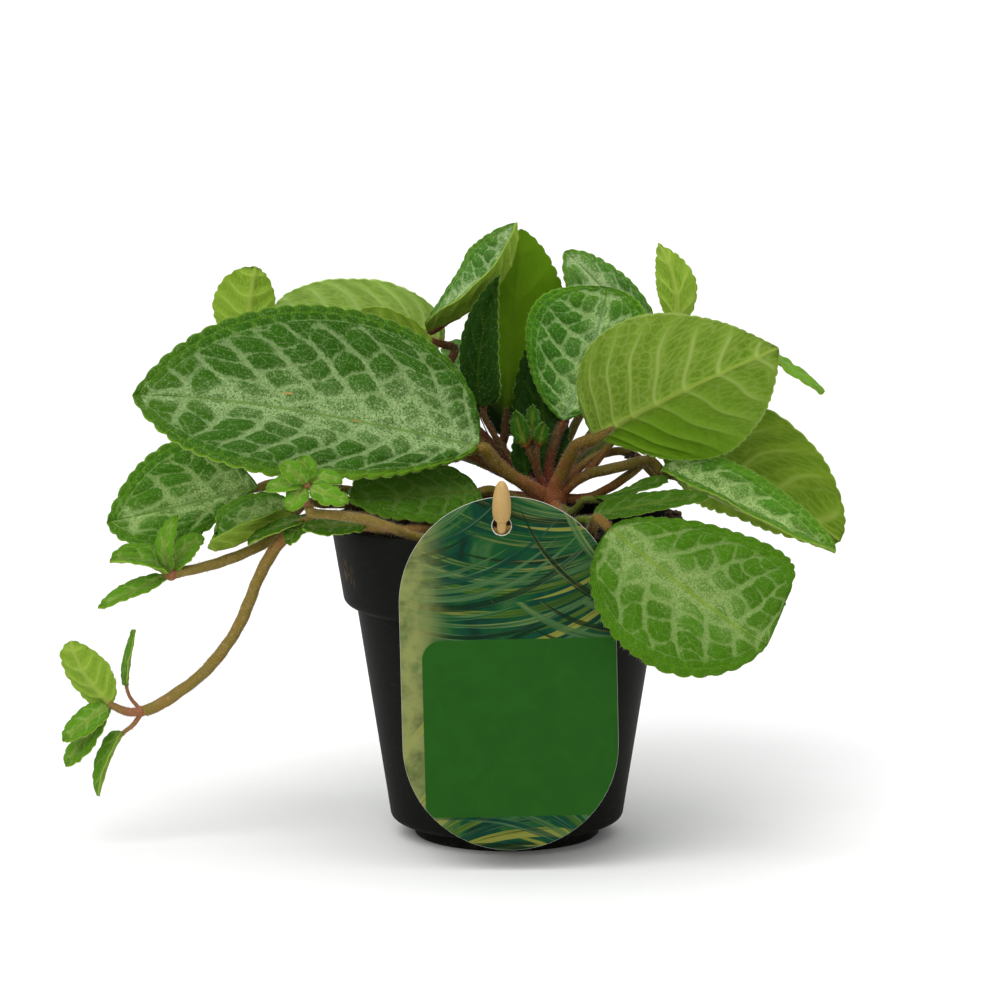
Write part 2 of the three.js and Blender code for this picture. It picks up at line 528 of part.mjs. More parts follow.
// A blade is a sheet of even thickness, split into triangles alike on both faces.
function bladeGeometry(leaf) {
  const { rows, columns } = leaf;
  const midrib = midribOf(leaf);
  const sheet = Array.from({ length: rows + 1 }, (_, i) =>
    Array.from({ length: columns + 1 }, (_, j) => {
      const s = BLADE_END + ((1 - 2 * BLADE_END) * i) / rows;
      return bladePoint(leaf, midrib, s, (2 * j) / columns - 1);
    }),
  );
  const normalAt = (i, j) => {
    const forward = sheet[Math.min(i + 1, rows)][j].clone().sub(sheet[Math.max(i - 1, 0)][j]);
    const sideways = sheet[i][Math.min(j + 1, columns)].clone().sub(sheet[i][Math.max(j - 1, 0)]);
    return sideways.cross(forward).normalize();
  };
  const face = (shift) =>
    sheet.flatMap((row, i) => row.flatMap((p, j) => p.clone().addScaledVector(normalAt(i, j), shift).toArray()));
  const upper = (i, j) => i * (columns + 1) + j;
  const lower = (i, j) => (rows + 1) * (columns + 1) + upper(i, j);
  const triangles = [];
  for (let i = 0; i < rows; i++) {
    for (let j = 0; j < columns; j++) {
      for (const [corner, left, right] of [[upper, 0, 1], [lower, 1, 0]]) {
        triangles.push(corner(i, j), corner(i + left, j + right), corner(i + 1, j + 1));
        triangles.push(corner(i, j), corner(i + 1, j + 1), corner(i + right, j + left));
      }
    }
  }
  const margin = [];
  for (let j = 0; j < columns; j++) margin.push([0, j]);
  for (let i = 0; i < rows; i++) margin.push([i, columns]);
  for (let j = columns; j > 0; j--) margin.push([rows, j]);
  for (let i = rows; i > 0; i--) margin.push([i, 0]);
  margin.forEach((here, k) => {
    const next = margin[(k + 1) % margin.length];
    triangles.push(upper(...here), lower(...next), upper(...next));
    triangles.push(upper(...here), lower(...here), lower(...next));
  });
  const places = [...face(BLADE_THICKNESS / 2), ...face(-BLADE_THICKNESS / 2)];
  const geometry = new THREE.BufferGeometry();
  geometry.setAttribute("position", new THREE.Float32BufferAttribute(places, 3));
  geometry.setIndex(triangles);
  geometry.computeVertexNormals();
  return geometry;
}

// The stem with every leaf's stalk. A stalk comes up to its blade along the midrib and stops just short of it.
function crownGeometry() {
  const stemLength = STEM_TOP - STEM_FOOT;
  const stem = upright(STEM_RADIUS, stemLength, 12).translate(STEM_X, STEM_Y, STEM_FOOT + stemLength / 2);
  const middle = new THREE.Vector3(STEM_X, STEM_Y, STEM_TOP + 1.5);
  const head = new THREE.SphereGeometry(STEM_HEAD_RADIUS, 10, 6).translate(...middle);
  const stalks = Object.values(LEAVES).map((leaf) => {
    const along = midribOf(leaf).getTangent(0);
    const end = vector(leaf.base).addScaledVector(along, -GAP - BLADE_THICKNESS / 2);
    const before = end.clone().addScaledVector(along, -(leaf.lead ?? STALK_LEAD) * leaf.thick);
    const toBend = vector(leaf.stalk[0]).sub(middle);
    const start = middle.clone().add(toBend.setLength(STEM_HEAD_RADIUS - 2));
    return tube([[...start], ...leaf.stalk, [...before], [...end]], leaf.thick, 5, 5);
  });
  return fuse([stem, head, ...stalks]);
}

// A plantlet: the knuckle its stalks part at, the stalks, and the leaves.
function plantletGeometry({ knuckle, knuckleRadius, stalks, leaves }) {
  const ball = new THREE.SphereGeometry(knuckleRadius, 6, 4).translate(...knuckle);
  const tubes = stalks.map(({ path, thick }) => tube(path, thick, 4, 5));
  return fuse([ball, ...tubes, ...leaves.map(bladeGeometry)]);
}

const FINISHES = {
  pot: { color: 0x26282a, roughness: 0.55 },
  soil: { color: 0x2a1d14, roughness: 1 },
  tag: { color: 0x1f6b4a, roughness: 0.35 },
  wood: { color: 0xc79f63, roughness: 0.7 },
  stalk: { color: 0x8a6a3c, roughness: 0.7 },
  runner: { color: 0x8f7434, roughness: 0.7 },
  leaf: { color: 0x4f8f3a, roughness: 0.75 },
  plantlet: { color: 0x6fa23a, roughness: 0.75 },
};

const plant = new THREE.Group();

function add(name, geometry, finish) {
  const material = new THREE.MeshStandardMaterial({ metalness: 0, ...FINISHES[finish] });
  const mesh = new THREE.Mesh(geometry, material);
  mesh.name = name;
  plant.add(mesh);
}

add("pot", potGeometry(), "pot");
add("soil", soilGeometry(), "soil");
add("tag", tagGeometry(), "tag");
add("tag_peg", pegGeometry(), "wood");
add("crown", crownGeometry(), "stalk");
for (const [name, { path, thick, steps, leaves }] of Object.entries(RUNNERS)) {
  add(name, fuse([tube(path, thick, steps), ...leaves.map(bladeGeometry)]), "runner");
}
for (const [name, plantlet] of Object.entries(PLANTLETS)) add(name, plantletGeometry(plantlet), "plantlet");
for (const [name, leaf] of Object.entries(LEAVES)) add(name, bladeGeometry(leaf), "leaf");

export default plant;
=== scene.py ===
"""The looks of a potted flame violet with minty leaves, in a round nursery pot with a hang tag.

Metres and +Z up in the scene. The tables below hold millimetres and repeat the part's own sizes.
"""

import math
from dataclasses import dataclass

import bpy
import numpy as np
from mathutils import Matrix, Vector


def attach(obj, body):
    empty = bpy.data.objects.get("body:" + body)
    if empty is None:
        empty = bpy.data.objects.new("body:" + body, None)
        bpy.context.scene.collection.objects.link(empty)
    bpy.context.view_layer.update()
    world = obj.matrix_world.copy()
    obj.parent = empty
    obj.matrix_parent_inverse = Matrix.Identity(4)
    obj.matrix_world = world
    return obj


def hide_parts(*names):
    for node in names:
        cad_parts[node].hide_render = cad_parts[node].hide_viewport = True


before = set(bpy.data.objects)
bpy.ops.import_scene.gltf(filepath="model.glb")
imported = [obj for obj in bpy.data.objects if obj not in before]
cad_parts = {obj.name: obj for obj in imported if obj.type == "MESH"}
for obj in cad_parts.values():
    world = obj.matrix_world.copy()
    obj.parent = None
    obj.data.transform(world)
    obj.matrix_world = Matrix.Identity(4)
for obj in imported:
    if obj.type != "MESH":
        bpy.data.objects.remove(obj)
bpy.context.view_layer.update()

MM = 0.001

# The pot, the soil, the tag and its peg, in millimetres.
POT_RADIUS, POT_HEIGHT = 60, 109
WALL, FLOOR, CORNER, LIP, LEDGE = 1.5, 1.8, 3, 0.8, 2
COLLAR_HEIGHT, COLLAR_LOW_RADIUS, SHOULDER_DROP = 26, 55.7, 4
COLLAR_LOW = POT_HEIGHT - COLLAR_HEIGHT
WALL_TOP_RADIUS, WALL_LOW_RADIUS = 51.1, 39.9
FOOT_RADIUS, FOOT_HEIGHT, FOOT_DRAFT = 31.5, 5.2, 0.3
DRAIN_HOLES, DRAIN_RADIUS, DRAIN_RING = 6, 3.5, 21
GAP, SOIL_RIM, SOIL_MOUND, SOIL_ROUGHNESS = 0.3, 100, 3.5, 0.6
TAG_WIDTH, TAG_HEIGHT, TAG_THICKNESS, TAG_EASE = 71, 118, 0.8, 0.12
TAG_MIDDLE, TAG_LEAN = (0.6, -61, 66.4), math.radians(1.3)
TAG_HOLE, TAG_HOLE_RADIUS = (-1.3, 49.4), 3.1
PEG_SLOPE = math.radians(49)
PEG_NECK_RADIUS, PEG_HEAD_RADIUS, PEG_HEAD_START, PEG_HEAD_LENGTH = 1.5, 3.05, 3.4, 18.5
PEG_REACH, PEG_POINT = 36, 7

# The stem, and what every blade has alike.
STEM_X, STEM_Y, STEM_RADIUS, STEM_FOOT, STEM_TOP, STEM_HEAD_RADIUS = 15, 4, 4, 84, 113, 5.5
STEM_HEAD = (STEM_X, STEM_Y, STEM_TOP + 1.5)
BLADE_THICKNESS, VEIN_LAG = 0.7, 0.22


@dataclass
class Leaf:
    """A leaf's base, middle and tip, the way its upper face looks, its half widths left and right of the
    midrib, the bends of its stalk, how far each half folds up in degrees, where it is widest, how blunt its
    tip is, its stalk's radius, how far before the blade the stalk is straight, in its own radii, the
    scallops on each side, the pairs of side veins, the paints of its upper and lower face and the number of
    its stalk's, and how strong its relief is."""

    base: tuple
    mid: tuple
    tip: tuple
    face: tuple
    wide: tuple
    stalk: list
    fold: tuple = (10, 10)
    peak: tuple = (0.42, 0.42)
    point: tuple = (0.55, 0.55)
    thick: float = 1.5
    lead: float = 2.5
    teeth: int = 12
    veins: int = 6
    look: tuple = ("rich", "green")
    stem: int = 0
    relief: float = 1.0


LEAVES = {
    "leaf_front_left": Leaf(
        (-9.6, -13.5, 135.1), (-76.4, -31.5, 150.8), (-123.6, -40, 156.1), (0, -84, 54), (29.5, 38.1),
        [(6, -4, 121), (-3.6, -10, 128.8)], fold=(16, 12), peak=(0.52, 0.34), point=(0.66, 0.88), thick=2.3,
        lead=0.6, teeth=24, veins=10, look=("front", "bright"), stem=3),
    "leaf_front_right": Leaf(
        (29, -6, 137.5), (57.5, -14, 153.8), (90.6, -16, 169.2), (10, 85, 50), (33.8, 32.4), [(19, 1, 125)],
        fold=(8, 8), peak=(0.55, 0.41), point=(0.73, 0.92), thick=2.3, teeth=30, veins=8,
        look=("light", "pale"), stem=3),
    "leaf_over_rim": Leaf(
        (33.5, -59, 114.7), (66.3, -70, 90), (84.5, -74, 78.4), (10, -95, 40), (29.1, 29.6),
        [(21, -20, 109.2), (27, -42, 109.6)], fold=(6, 6), peak=(0.64, 0.35), point=(0.32, 0.88), thick=1.7,
        teeth=19, veins=7, look=("light", "green"), stem=3),
    "leaf_low_left": Leaf(
        (-84.5, 2, 119.1), (-104.4, -3, 114.9), (-135.1, -11, 109.1), (-15, -90, 45), (14.5, 23.2),
        [(-6, 8, 116), (-45, 4, 117)], fold=(8, 8), peak=(0.74, 0.52), point=(0.53, 0.8), thick=1.6,
        teeth=14, look=("broad", "bright")),
    "leaf_low_left_folded": Leaf(
        (-71, -15, 114.2), (-90, -20.5, 104), (-99.5, -20.5, 102), (-45, -45, 75), (14, 15),
        [(-9, 2, 112), (-45, -5, 114.3), (-62, -10.5, 115.2)], fold=(55, 34), peak=(0.5, 0.36),
        point=(0.7, 0.6), thick=1.4, veins=5, look=("silver", "bright")),
    "leaf_upper_left_small": Leaf(
        (-89, 22, 167), (-88, 24, 180), (-86, 26, 192), (20, 85, 35), (9, 13.5),
        [(-22, 15, 133), (-60, 20, 147)], fold=(20, 5), peak=(0.45, 0.45), point=(0.6, 0.6), thick=1.3,
        teeth=11, veins=5, look=("young", "bright")),
    "leaf_upper_left": Leaf(
        (-22, 33, 165), (-50, 35, 174.5), (-80, 37, 177), (-20, 80, 60), (15.5, 14),
        [(-7, 15, 134), (-22, 24.5, 152)], fold=(8, 8), point=(0.65, 0.6), teeth=18, veins=7,
        look=("light", "lit"), stem=1),
    "leaf_upper_left_curled": Leaf(
        (-26, 10, 163), (-39, 12, 170), (-53, 14, 176), (0, 30, 90), (11, 12), [(-9, 6, 134)],
        fold=(40, 40), peak=(0.45, 0.45), thick=1.3, teeth=9, veins=5, look=("rich", "bright")),
    "leaf_top_folded": Leaf(
        (-27.5, 21.5, 170.8), (-3.4, 23, 186.3), (2.8, 26, 207.1), (-74, -25, 51), (17, 15.9),
        [(-3, 12, 130), (-13, 19, 148)], fold=(43, 41), peak=(0.59, 0.3), point=(0.45, 0.8), thick=1.4,
        teeth=16, veins=7, look=("frost", "bright"), stem=1),
    "leaf_top_broad": Leaf(
        (-1, 22, 134), (2, 33.5, 168), (5, 37, 204), (-10, 100, 10), (21, 16.5), [(8, 14, 122)],
        fold=(6, 6), peak=(0.45, 0.45), point=(0.7, 0.7), thick=1.6, teeth=22, veins=7,
        look=("rich", "smooth"), stem=1, relief=0.35),
    "leaf_centre_young": Leaf(
        (-8.5, 7.5, 146), (-9, 9.5, 165), (-2.3, 13, 190.5), (-40, -90, 10), (7.6, 11.4), [(3, 5, 126)],
        fold=(42, 25), peak=(0.53, 0.23), point=(0.76, 0.94), thick=1.1, teeth=14, veins=7,
        look=("deep", "green"), stem=1, relief=0.6),
    "leaf_centre_dark": Leaf(
        (13, 9.8, 122.2), (12.5, 18, 140), (11, 26, 168), (-5, -95, 20), (11, 9), [(14, 7.5, 118.5)],
        fold=(8, 8), peak=(0.46, 0.46), point=(0.5, 0.5), thick=1.2, look=("deep", "green"), stem=1),
    "leaf_centre_right": Leaf(
        (19.3, 12, 140.5), (29.3, 18, 165.7), (34.4, 23, 185.2), (-20, -90, 30), (24.3, 19.2),
        [(14.3, 6.5, 125)], fold=(12, 12), peak=(0.57, 0.6), point=(0.44, 0.52), thick=1.6, teeth=22,
        veins=7, look=("glade", "green"), stem=1),
    "leaf_top_right": Leaf(
        (50, 34.5, 161), (36, 38, 180), (20, 40, 196), (-20, -70, 70), (14, 9.5),
        [(25, 14, 130), (37, 26, 145)], fold=(8, 8), point=(0.6, 0.6), thick=1.4, teeth=15,
        look=("frost", "green")),
    "leaf_top_right_small": Leaf(
        (56.5, 26, 169.7), (58, 28, 183.7), (51.8, 30, 199.7), (-30, 90, 30), (8.3, 6.6),
        [(28, 8, 124), (45, 17, 147)], peak=(0.49, 0.52), point=(0.98, 0.82), thick=1.3, veins=4,
        look=("young", "paler_lit_through")),
    "leaf_right_edge": Leaf(
        (91, 20, 162), (100, 21, 155), (109, 22, 149), (25, -16, 90), (8, 8),
        [(29, 9, 115), (46, 8, 126), (74, 11, 156)], fold=(5, 5), peak=(0.45, 0.45), teeth=7, veins=4,
        look=("plain", "bright")),
    "leaf_right_back": Leaf(
        (55.8, 22, 121.9), (79, 26, 121), (115.6, 27, 96.9), (40, 85, 40), (21.1, 29.3),
        [(22, 8, 122), (30, 12, 128), (42, 17, 129)], fold=(5, 5), peak=(0.54, 0.45), point=(0.53, 0.6),
        thick=1.4, teeth=20, veins=7, look=("rich", "olive")),
    "leaf_right_pointed": Leaf(
        (53, 6.5, 125), (79, 2.5, 112), (112, 0.5, 97.2), (40, -50, 80), (14, 20.5),
        [(26, 3.5, 122.6), (38, 4.5, 125.6)], fold=(40, 35), point=(0.62, 0.62), thick=1.8, teeth=20,
        veins=7, look=("silver", "bright")),
    "leaf_low_right": Leaf(
        (29, -24, 112.8), (47.4, -34, 118.5), (66.5, -40, 121.9), (0, -45, 90), (6.8, 9.3),
        [(21, -14, 110)], fold=(17, 15), peak=(0.2, 0.25), point=(0.42, 0.4), thick=1.4, veins=5,
        look=("shade", "green"), stem=2, relief=0.6),
    "leaf_low_right_small": Leaf(
        (30, -5, 116.5), (43.5, -4, 119.1), (54.3, -2, 123), (0, -25, 97), (5.3, 8.2), [(22, -1, 111)],
        fold=(7, 17), peak=(0.76, 0.37), point=(0.78, 0.32), thick=1.2, teeth=7, veins=4,
        look=("shade", "green"), stem=2),
    "leaf_under_left": Leaf(
        (-10, -12, 120), (-31, -24, 120), (-52, -36, 121), (0, -60, 80), (17, 17), [(4, -4, 116)],
        fold=(8, 8), look=("shade", "green")),
    "leaf_back_left": Leaf(
        (-23, 35, 131), (-48, 62, 136), (-78, 90, 134), (-20, 30, 90), (22, 22), [(-6, 20, 126)], teeth=13),
    "leaf_back_middle": Leaf(
        (-1, 40, 144), (-2, 75, 154), (-4, 108, 154), (0, 50, 85), (22, 22), [(5, 24, 132)], teeth=14),
    "leaf_back_right": Leaf(
        (29, 42, 144), (42, 75, 150), (57, 105, 147), (20, 40, 85), (20, 20), [(21, 24, 132)], teeth=13),
    "leaf_back_far_right": Leaf(
        (46, 35, 134), (68, 58, 139), (87, 80, 136), (40, 30, 85), (20, 20), [(30, 20, 129)], teeth=13,
        stem=2),
    "leaf_back_far_left": Leaf(
        (-37, 20, 126), (-68, 40, 127), (-101, 60, 124), (-40, 20, 90), (20, 20), [(-12, 13, 130)],
        teeth=14),
    "leaf_back_low_left": Leaf(
        (-18, 45, 124), (-31, 75, 120), (-42, 100, 112), (-10, 40, 90), (18, 18), [(-2, 24, 121)]),
    "leaf_back_low_right": Leaf(
        (36, 48, 130), (55, 75, 131), (70, 102, 122), (20, 40, 90), (18, 18), [(25, 26, 127)]),
    "bud_back": Leaf(
        (6.8, 3, 123), (5.6, 3.4, 130), (4.4, 3.4, 138), (-10, -90, 10), (4.5, 2.8), [(11, 3, 118)],
        fold=(15, 15), peak=(0.45, 0.45), point=(0.65, 0.65), thick=0.9, teeth=5, veins=3,
        look=("deep", "green")),
    "bud_left": Leaf(
        (7, -0.6, 133), (4.5, -1.2, 139.5), (3, -1.5, 146), (-20, -90, 30), (3.4, 3.4), [(11.2, 1.7, 122)],
        fold=(15, 15), peak=(0.45, 0.45), point=(0.75, 0.75), thick=1.1, teeth=5, veins=3,
        look=("bud", "green"), stem=1),
    "bud_middle": Leaf(
        (8.8, 1.6, 134.5), (8.6, 1.9, 141), (8.8, 2.1, 147.5), (-10, -90, 30), (3.2, 3.2), [(11.4, 2, 122)],
        fold=(15, 15), peak=(0.45, 0.45), point=(0.75, 0.75), thick=0.9, teeth=4, veins=3,
        look=("bud", "green"), stem=1),
    "bud_right": Leaf(
        (10.7, -1, 133.6), (11.6, -1.4, 137.8), (12.1, -1.6, 142), (10, -90, 30), (2.6, 2.6),
        [(11.6, 1.5, 122)], fold=(15, 15), peak=(0.45, 0.45), point=(0.75, 0.75), thick=0.9, teeth=4,
        veins=3, look=("bud", "green"), stem=1),
}


def small(base, mid, tip, face, wide, fold=(12, 12), teeth=7, veins=4):
    """A leaf of a plantlet, or one along a runner."""
    return Leaf(base, mid, tip, face, wide, [], fold, (0.45, 0.45), teeth=teeth, veins=veins)


def tiny(base, mid, tip, face):
    return small(base, mid, tip, face, (4, 4), teeth=4, veins=3)


# A plantlet: the knuckle its stalks part at, the stalks as path and radius, and the leaves.
PLANTLETS = {
    "plantlet_long": dict(
        knuckle=(-123.3, -24.4, 46.7), radius=1.9,
        stalks=[
            ([(-122, -24.3, 46.8), (-127, -25, 46.6), (-134, -26, 49.5)], 1.5),
            ([(-123, -24, 46.7), (-127, -23, 51.5), (-128.5, -22, 56)], 0.7),
            ([(-123, -24, 46.3), (-125.5, -24, 42.5), (-129.7, -24, 39)], 0.9),
        ],
        leaves=[
            small((-133, -26, 49.5), (-141.5, -27, 60), (-146, -28, 71.5), (35, 85, 40), (9.5, 9.5),
                  teeth=9, veins=5),
            small((-134, -26, 48.5), (-141, -29, 44), (-149, -32, 38), (-20, -70, 70), (5.5, 5.5)),
            small((-134, -25.5, 48.6), (-142, -26, 37), (-148.5, -28, 28.5), (-40, -75, 50), (5, 5)),
            small((-129.5, -24, 39.5), (-134, -25, 31), (-138, -26, 18), (-80, -35, 30), (5, 6), (30, 30)),
            small((-128.5, -22, 55), (-127.5, -21, 63), (-125.5, -20, 74), (-90, -25, 20), (5, 5)),
        ],
    ),
    "plantlet_middle": dict(
        knuckle=(-112.6, -23.9, 93.4), radius=2.2,
        stalks=[([(-111, -23.7, 93.8), (-112.6, -23.9, 93.3), (-115, -24.5, 93)], 1.7)],
        leaves=[
            small((-114, -24.5, 93.9), (-122, -28, 98), (-132.5, -31, 99), (-10, -45, 90), (7, 8),
                  (30, 30)),
            small((-114.4, -24.7, 92.4), (-124, -28.5, 88.5), (-136.5, -32.5, 83.5), (-35, -60, 70),
                  (3.2, 5.2)),
            small((-112.7, -24.8, 94.6), (-114, -30, 104.8), (-109.5, -31, 114.6), (-30, -90, 20),
                  (3.6, 3.6)),
            small((-112.1, -23.5, 94.8), (-107.5, -22.5, 101.5), (-101.5, -21.5, 105.5), (-30, -70, 60),
                  (5, 5)),
        ],
    ),
    "plantlet_short": dict(
        knuckle=(-65.6, -56.2, 128.2), radius=1.5,
        stalks=[([(-65, -54.5, 121.2), (-66, -55, 124), (-65.6, -56.2, 128)], 1)],
        leaves=[
            tiny((-66.3, -57.1, 129.2), (-69, -60.5, 133), (-74, -62.5, 136), (-20, -90, 40)),
            tiny((-65.7, -55.8, 129.6), (-66, -54, 133.5), (-68, -53, 137.5), (0, -90, 30)),
            tiny((-64.3, -56.8, 127.8), (-58, -60, 125.5), (-51.5, -60, 124), (10, -85, 50)),
            tiny((-64.3, -55.8, 128.8), (-59.5, -54, 130.5), (-54, -53, 128.5), (10, -60, 80)),
            tiny((-66.4, -57.1, 127.3), (-69, -60, 124.5), (-72, -61, 121), (-20, -90, 40)),
            tiny((-67, -56.6, 128.4), (-72.5, -58.5, 129), (-79, -60, 127), (-10, -60, 80)),
        ],
    ),
}

# The runners: slack stems that lie over the rim and hang free outside it. Each has its radius, its path,
# its leaves and its plantlet.
RUNNERS = {
    "runner_long": (2, [
        (11, 1.2, 108.8), (-5, -12, 111), (-22, -30, 111), (-34, -38, 110.5), (-45.5, -35, 111.5),
        (-55.5, -30, 113), (-67.5, -28, 111.5), (-76.5, -27, 104), (-82.7, -26, 93.5), (-86.5, -25, 84),
        (-90.3, -25, 75.5), (-96, -25, 67), (-103, -24, 59), (-111.5, -24, 52.5),
        (-117.5, -24, 48.6), (-121, -24.2, 47.2),
    ], [
        small((-67, -28, 112), (-76.5, -28, 109.5), (-86.5, -30, 104.5), (-35, -20, 95), (6, 6)),
        small((-67, -28.5, 112), (-70, -31, 109), (-73, -33, 105), (-60, -60, 40), (5, 5)),
        small((-47, -35, 112), (-58, -40, 112), (-67.5, -44, 112), (0, -60, 80), (5, 5)),
    ], "plantlet_long"),
    "runner_middle": (1.8, [
        (10.7, 3.6, 106.2), (-9, -2, 108.5), (-29, -5, 109.5), (-46.5, -8, 110.5), (-59.5, -12, 111.5),
        (-69, -14, 110.3), (-77, -16, 105.3), (-86, -18.5, 100.7), (-99, -21.8, 96.3),
        (-109.6, -23.5, 94.1),
    ], [], "plantlet_middle"),
    "runner_short": (1.6, [
        (13.5, -0.2, 106.2), (-1, -14, 106.5), (-18, -32, 106.5), (-31, -41, 109),
        (-39, -45.5, 113), (-46, -48.5, 115.8), (-55, -51, 117.5), (-64.5, -54, 119.3),
    ], [], "plantlet_short"),
}

# Millimetres between the rows of a blade's surface: how long a blade each step is for, and the step.
ROW_STEPS = [(60, 0.85), (25, 0.9), (0, 0.75)]

# A blade's cushions lie in one row between two side veins. Their length in millimetres on a large leaf,
# how round they are, how far their ends slant from one side vein to the next, and how far each row is
# shifted against the last. Then the rows of small cushions along the margin, each as broad as this share
# of a large one, how far the side veins bend forward as a share of the blade's length, and how uneven
# the finest net is.
CUSHION, ROUNDNESS, SLANT, STAGGER = 5.6, 3.6, 0.6, 0.45
MARGIN_ROWS, MARGIN_ROW, VEIN_BEND, NET_IRREGULARITY = 2, 0.46, 0.12, 0.85

# How wide a blade has full-size cushions and full relief, the smallest size of cushion, how narrow a blade
# has narrower rows along its margin, and how much narrower.
FULL_SIZE, FULL_RELIEF, SMALLEST, NARROW, NARROW_ROWS = 44, 40, 0.42, 26, 0.6

# Hairs: how many to a square millimetre of a blade, a young leaf, a leaf's stalk, a runner and a plantlet's
# stalks, and to a millimetre of margin. Then their radii on blades and on stems, and how long the shorter
# ones on a blade's face are, and the longer ones elsewhere.
BLADE_HAIRS, YOUNG_HAIRS = 0.35, 0.8
STALK_HAIRS, RUNNER_HAIRS, PLANTLET_HAIRS, MARGIN_HAIRS = 1.6, 2.2, 3, 2.2
HAIR_RADIUS, STEM_HAIR_RADIUS = 0.045, 0.042
SHORT_HAIRS, LONG_HAIRS = (0.45, 1.0), (0.5, 1.3)

# Seeds of the random draws. Those of hairs are added to the number of their leaf or stem.
SOIL_SEED, DRY_SEED, BLADE_HAIR_SEED, STEM_HAIR_SEED = 5, 11, 900, 400

# A stalk goes on below its blade: the shares of the blade's length where it passes, how many of its own
# radii below the blade it is there, and how much more.
STALK_TAIL, STALK_TAIL_GAP = ((0.03, 0.75), (0.08, 0.5), (0.14, 0.25)), 0.55

# Relief of a blade in millimetres: the swellings between side veins and within the net's cells,
# the ridges of the veins below, the depth of the scallops and the thickness of the margin.
QUILT, PILLOW, GROOVE, RIDGE, RIB_RIDGE, MARGIN_THICKNESS = 0.5, 1.0, 0.45, 0.42, 0.95, 0.34
SCALLOP_DEPTH, MARGIN_WAVE, MARGIN_CURL, UNDER_PILLOW = 0.2, 0.5, 0.5, 0.3


def unit(v):
    return v / np.maximum(np.linalg.norm(v, axis=-1, keepdims=True), 1e-12)


def smooth(x, low, high):
    x = np.clip((x - low) / (high - low), 0, 1)
    return x * x * (3 - 2 * x)


def walked(path):
    """How far each place on a path lies from its start, along the path."""
    return np.concatenate([[0], np.cumsum(np.linalg.norm(np.diff(path, axis=0), axis=1))])


def grid_faces(rows, columns, closed=False):
    """The four-cornered faces of a grid of vertices, whose rows may each be closed to a ring."""
    index = np.arange(rows * columns).reshape(rows, columns)
    near, far = (index, np.roll(index, -1, axis=1)) if closed else (index[:, :-1], index[:, 1:])
    return np.stack([near[:-1], far[:-1], far[1:], near[1:]], -1).reshape(-1, 4)


def ring_faces(rings, sides):
    """The faces of closed rings of vertices, then fans that close their ends about two last vertices."""
    first, last, middle = np.arange(sides), (rings - 1) * sides + np.arange(sides), rings * sides
    ends = np.concatenate([
        np.stack([np.roll(first, -1), first, np.full(sides, middle)], 1),
        np.stack([last, np.roll(last, -1), np.full(sides, middle + 1)], 1),
    ])
    return [grid_faces(rings, sides, closed=True), ends]


def placed(name, data):
    """A new object in the scene."""
    made = bpy.data.objects.new(name, data)
    bpy.context.scene.collection.objects.link(made)
    return made


def final_mesh(made):
    """The mesh that an object's modifiers, or its curve, give."""
    return bpy.data.meshes.new_from_object(made.evaluated_get(bpy.context.evaluated_depsgraph_get()))


class Shape:
    """A mesh in the making: vertices in millimetres, faces of three or four corners, and their maps.

    Every vertex has a place on four maps: "blade" is (along, across), "veins" is (side veins passed,
    millimetres from the midrib), "cells" is (side veins passed, cushions passed along their row), and
    "margin" is (scallops passed, rows of small cushions passed from the margin).
    """

    MAPS = ("blade", "veins", "cells", "margin")

    def __init__(self):
        self.places, self.faces, self.maps, self.count = [], [], {m: [] for m in self.MAPS}, 0

    def add(self, places, faces, paint=0, **maps):
        """faces is a list of arrays, each with its own count of corners. paint is one material number."""
        places = np.asarray(places, float).reshape(-1, 3)
        self.faces += [(np.asarray(corners, int) + self.count, paint) for corners in faces]
        for name in self.MAPS:
            self.maps[name].append(np.reshape(maps.get(name, np.zeros((len(places), 2))), (-1, 2)))
        self.places.append(places)
        self.count += len(places)
        return self

    def copy(self, other, shift, paint=0):
        """Adds another shape's first places, moved, and its faces."""
        self.add(other.places[0] + shift, [faces for faces, _ in other.faces], paint)

    def piece(self, name, materials, slot, *nodes, sharp=None):
        """The shape as a Blender object that rides on the part and stands for those CAD nodes."""
        mesh = bpy.data.meshes.new(name)
        places = np.concatenate(self.places) * MM
        mesh.vertices.add(len(places))
        mesh.vertices.foreach_set("co", places.astype(np.float32).ravel())
        loops = np.concatenate([f.ravel() for f, _ in self.faces])
        sizes = np.concatenate([np.full(len(f), f.shape[1]) for f, _ in self.faces])
        paints = np.concatenate([np.full(len(f), paint) for f, paint in self.faces])
        mesh.loops.add(len(loops))
        mesh.loops.foreach_set("vertex_index", loops.astype(np.int32))
        mesh.polygons.add(len(sizes))
        starts = np.concatenate([[0], np.cumsum(sizes)[:-1]])
        mesh.polygons.foreach_set("loop_start", starts.astype(np.int32))
        mesh.polygons.foreach_set("material_index", paints.astype(np.int32))
        mesh.polygons.foreach_set("use_smooth", np.ones(len(sizes), bool))
        for map_name, values in self.maps.items():
            layer = mesh.uv_layers.new(name=map_name)
            layer.uv.foreach_set("vector", np.concatenate(values)[loops].astype(np.float32).ravel())
        mesh.update(calc_edges=True)
        for material in materials:
            mesh.materials.append(material)
        if sharp is not None:
            mesh.set_sharp_from_angle(angle=math.radians(sharp))
        made = placed(name, mesh)
        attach(made, "root")
        if nodes:
            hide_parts(*nodes)
        return made


def width_share(s, peak, point):
    """How wide a blade is at s, from 0 at its base to 1 at its tip, as a share of its widest."""
    start = point * peak / (1 - peak)
    return (s / peak) ** start * ((1 - s) / (1 - peak)) ** point


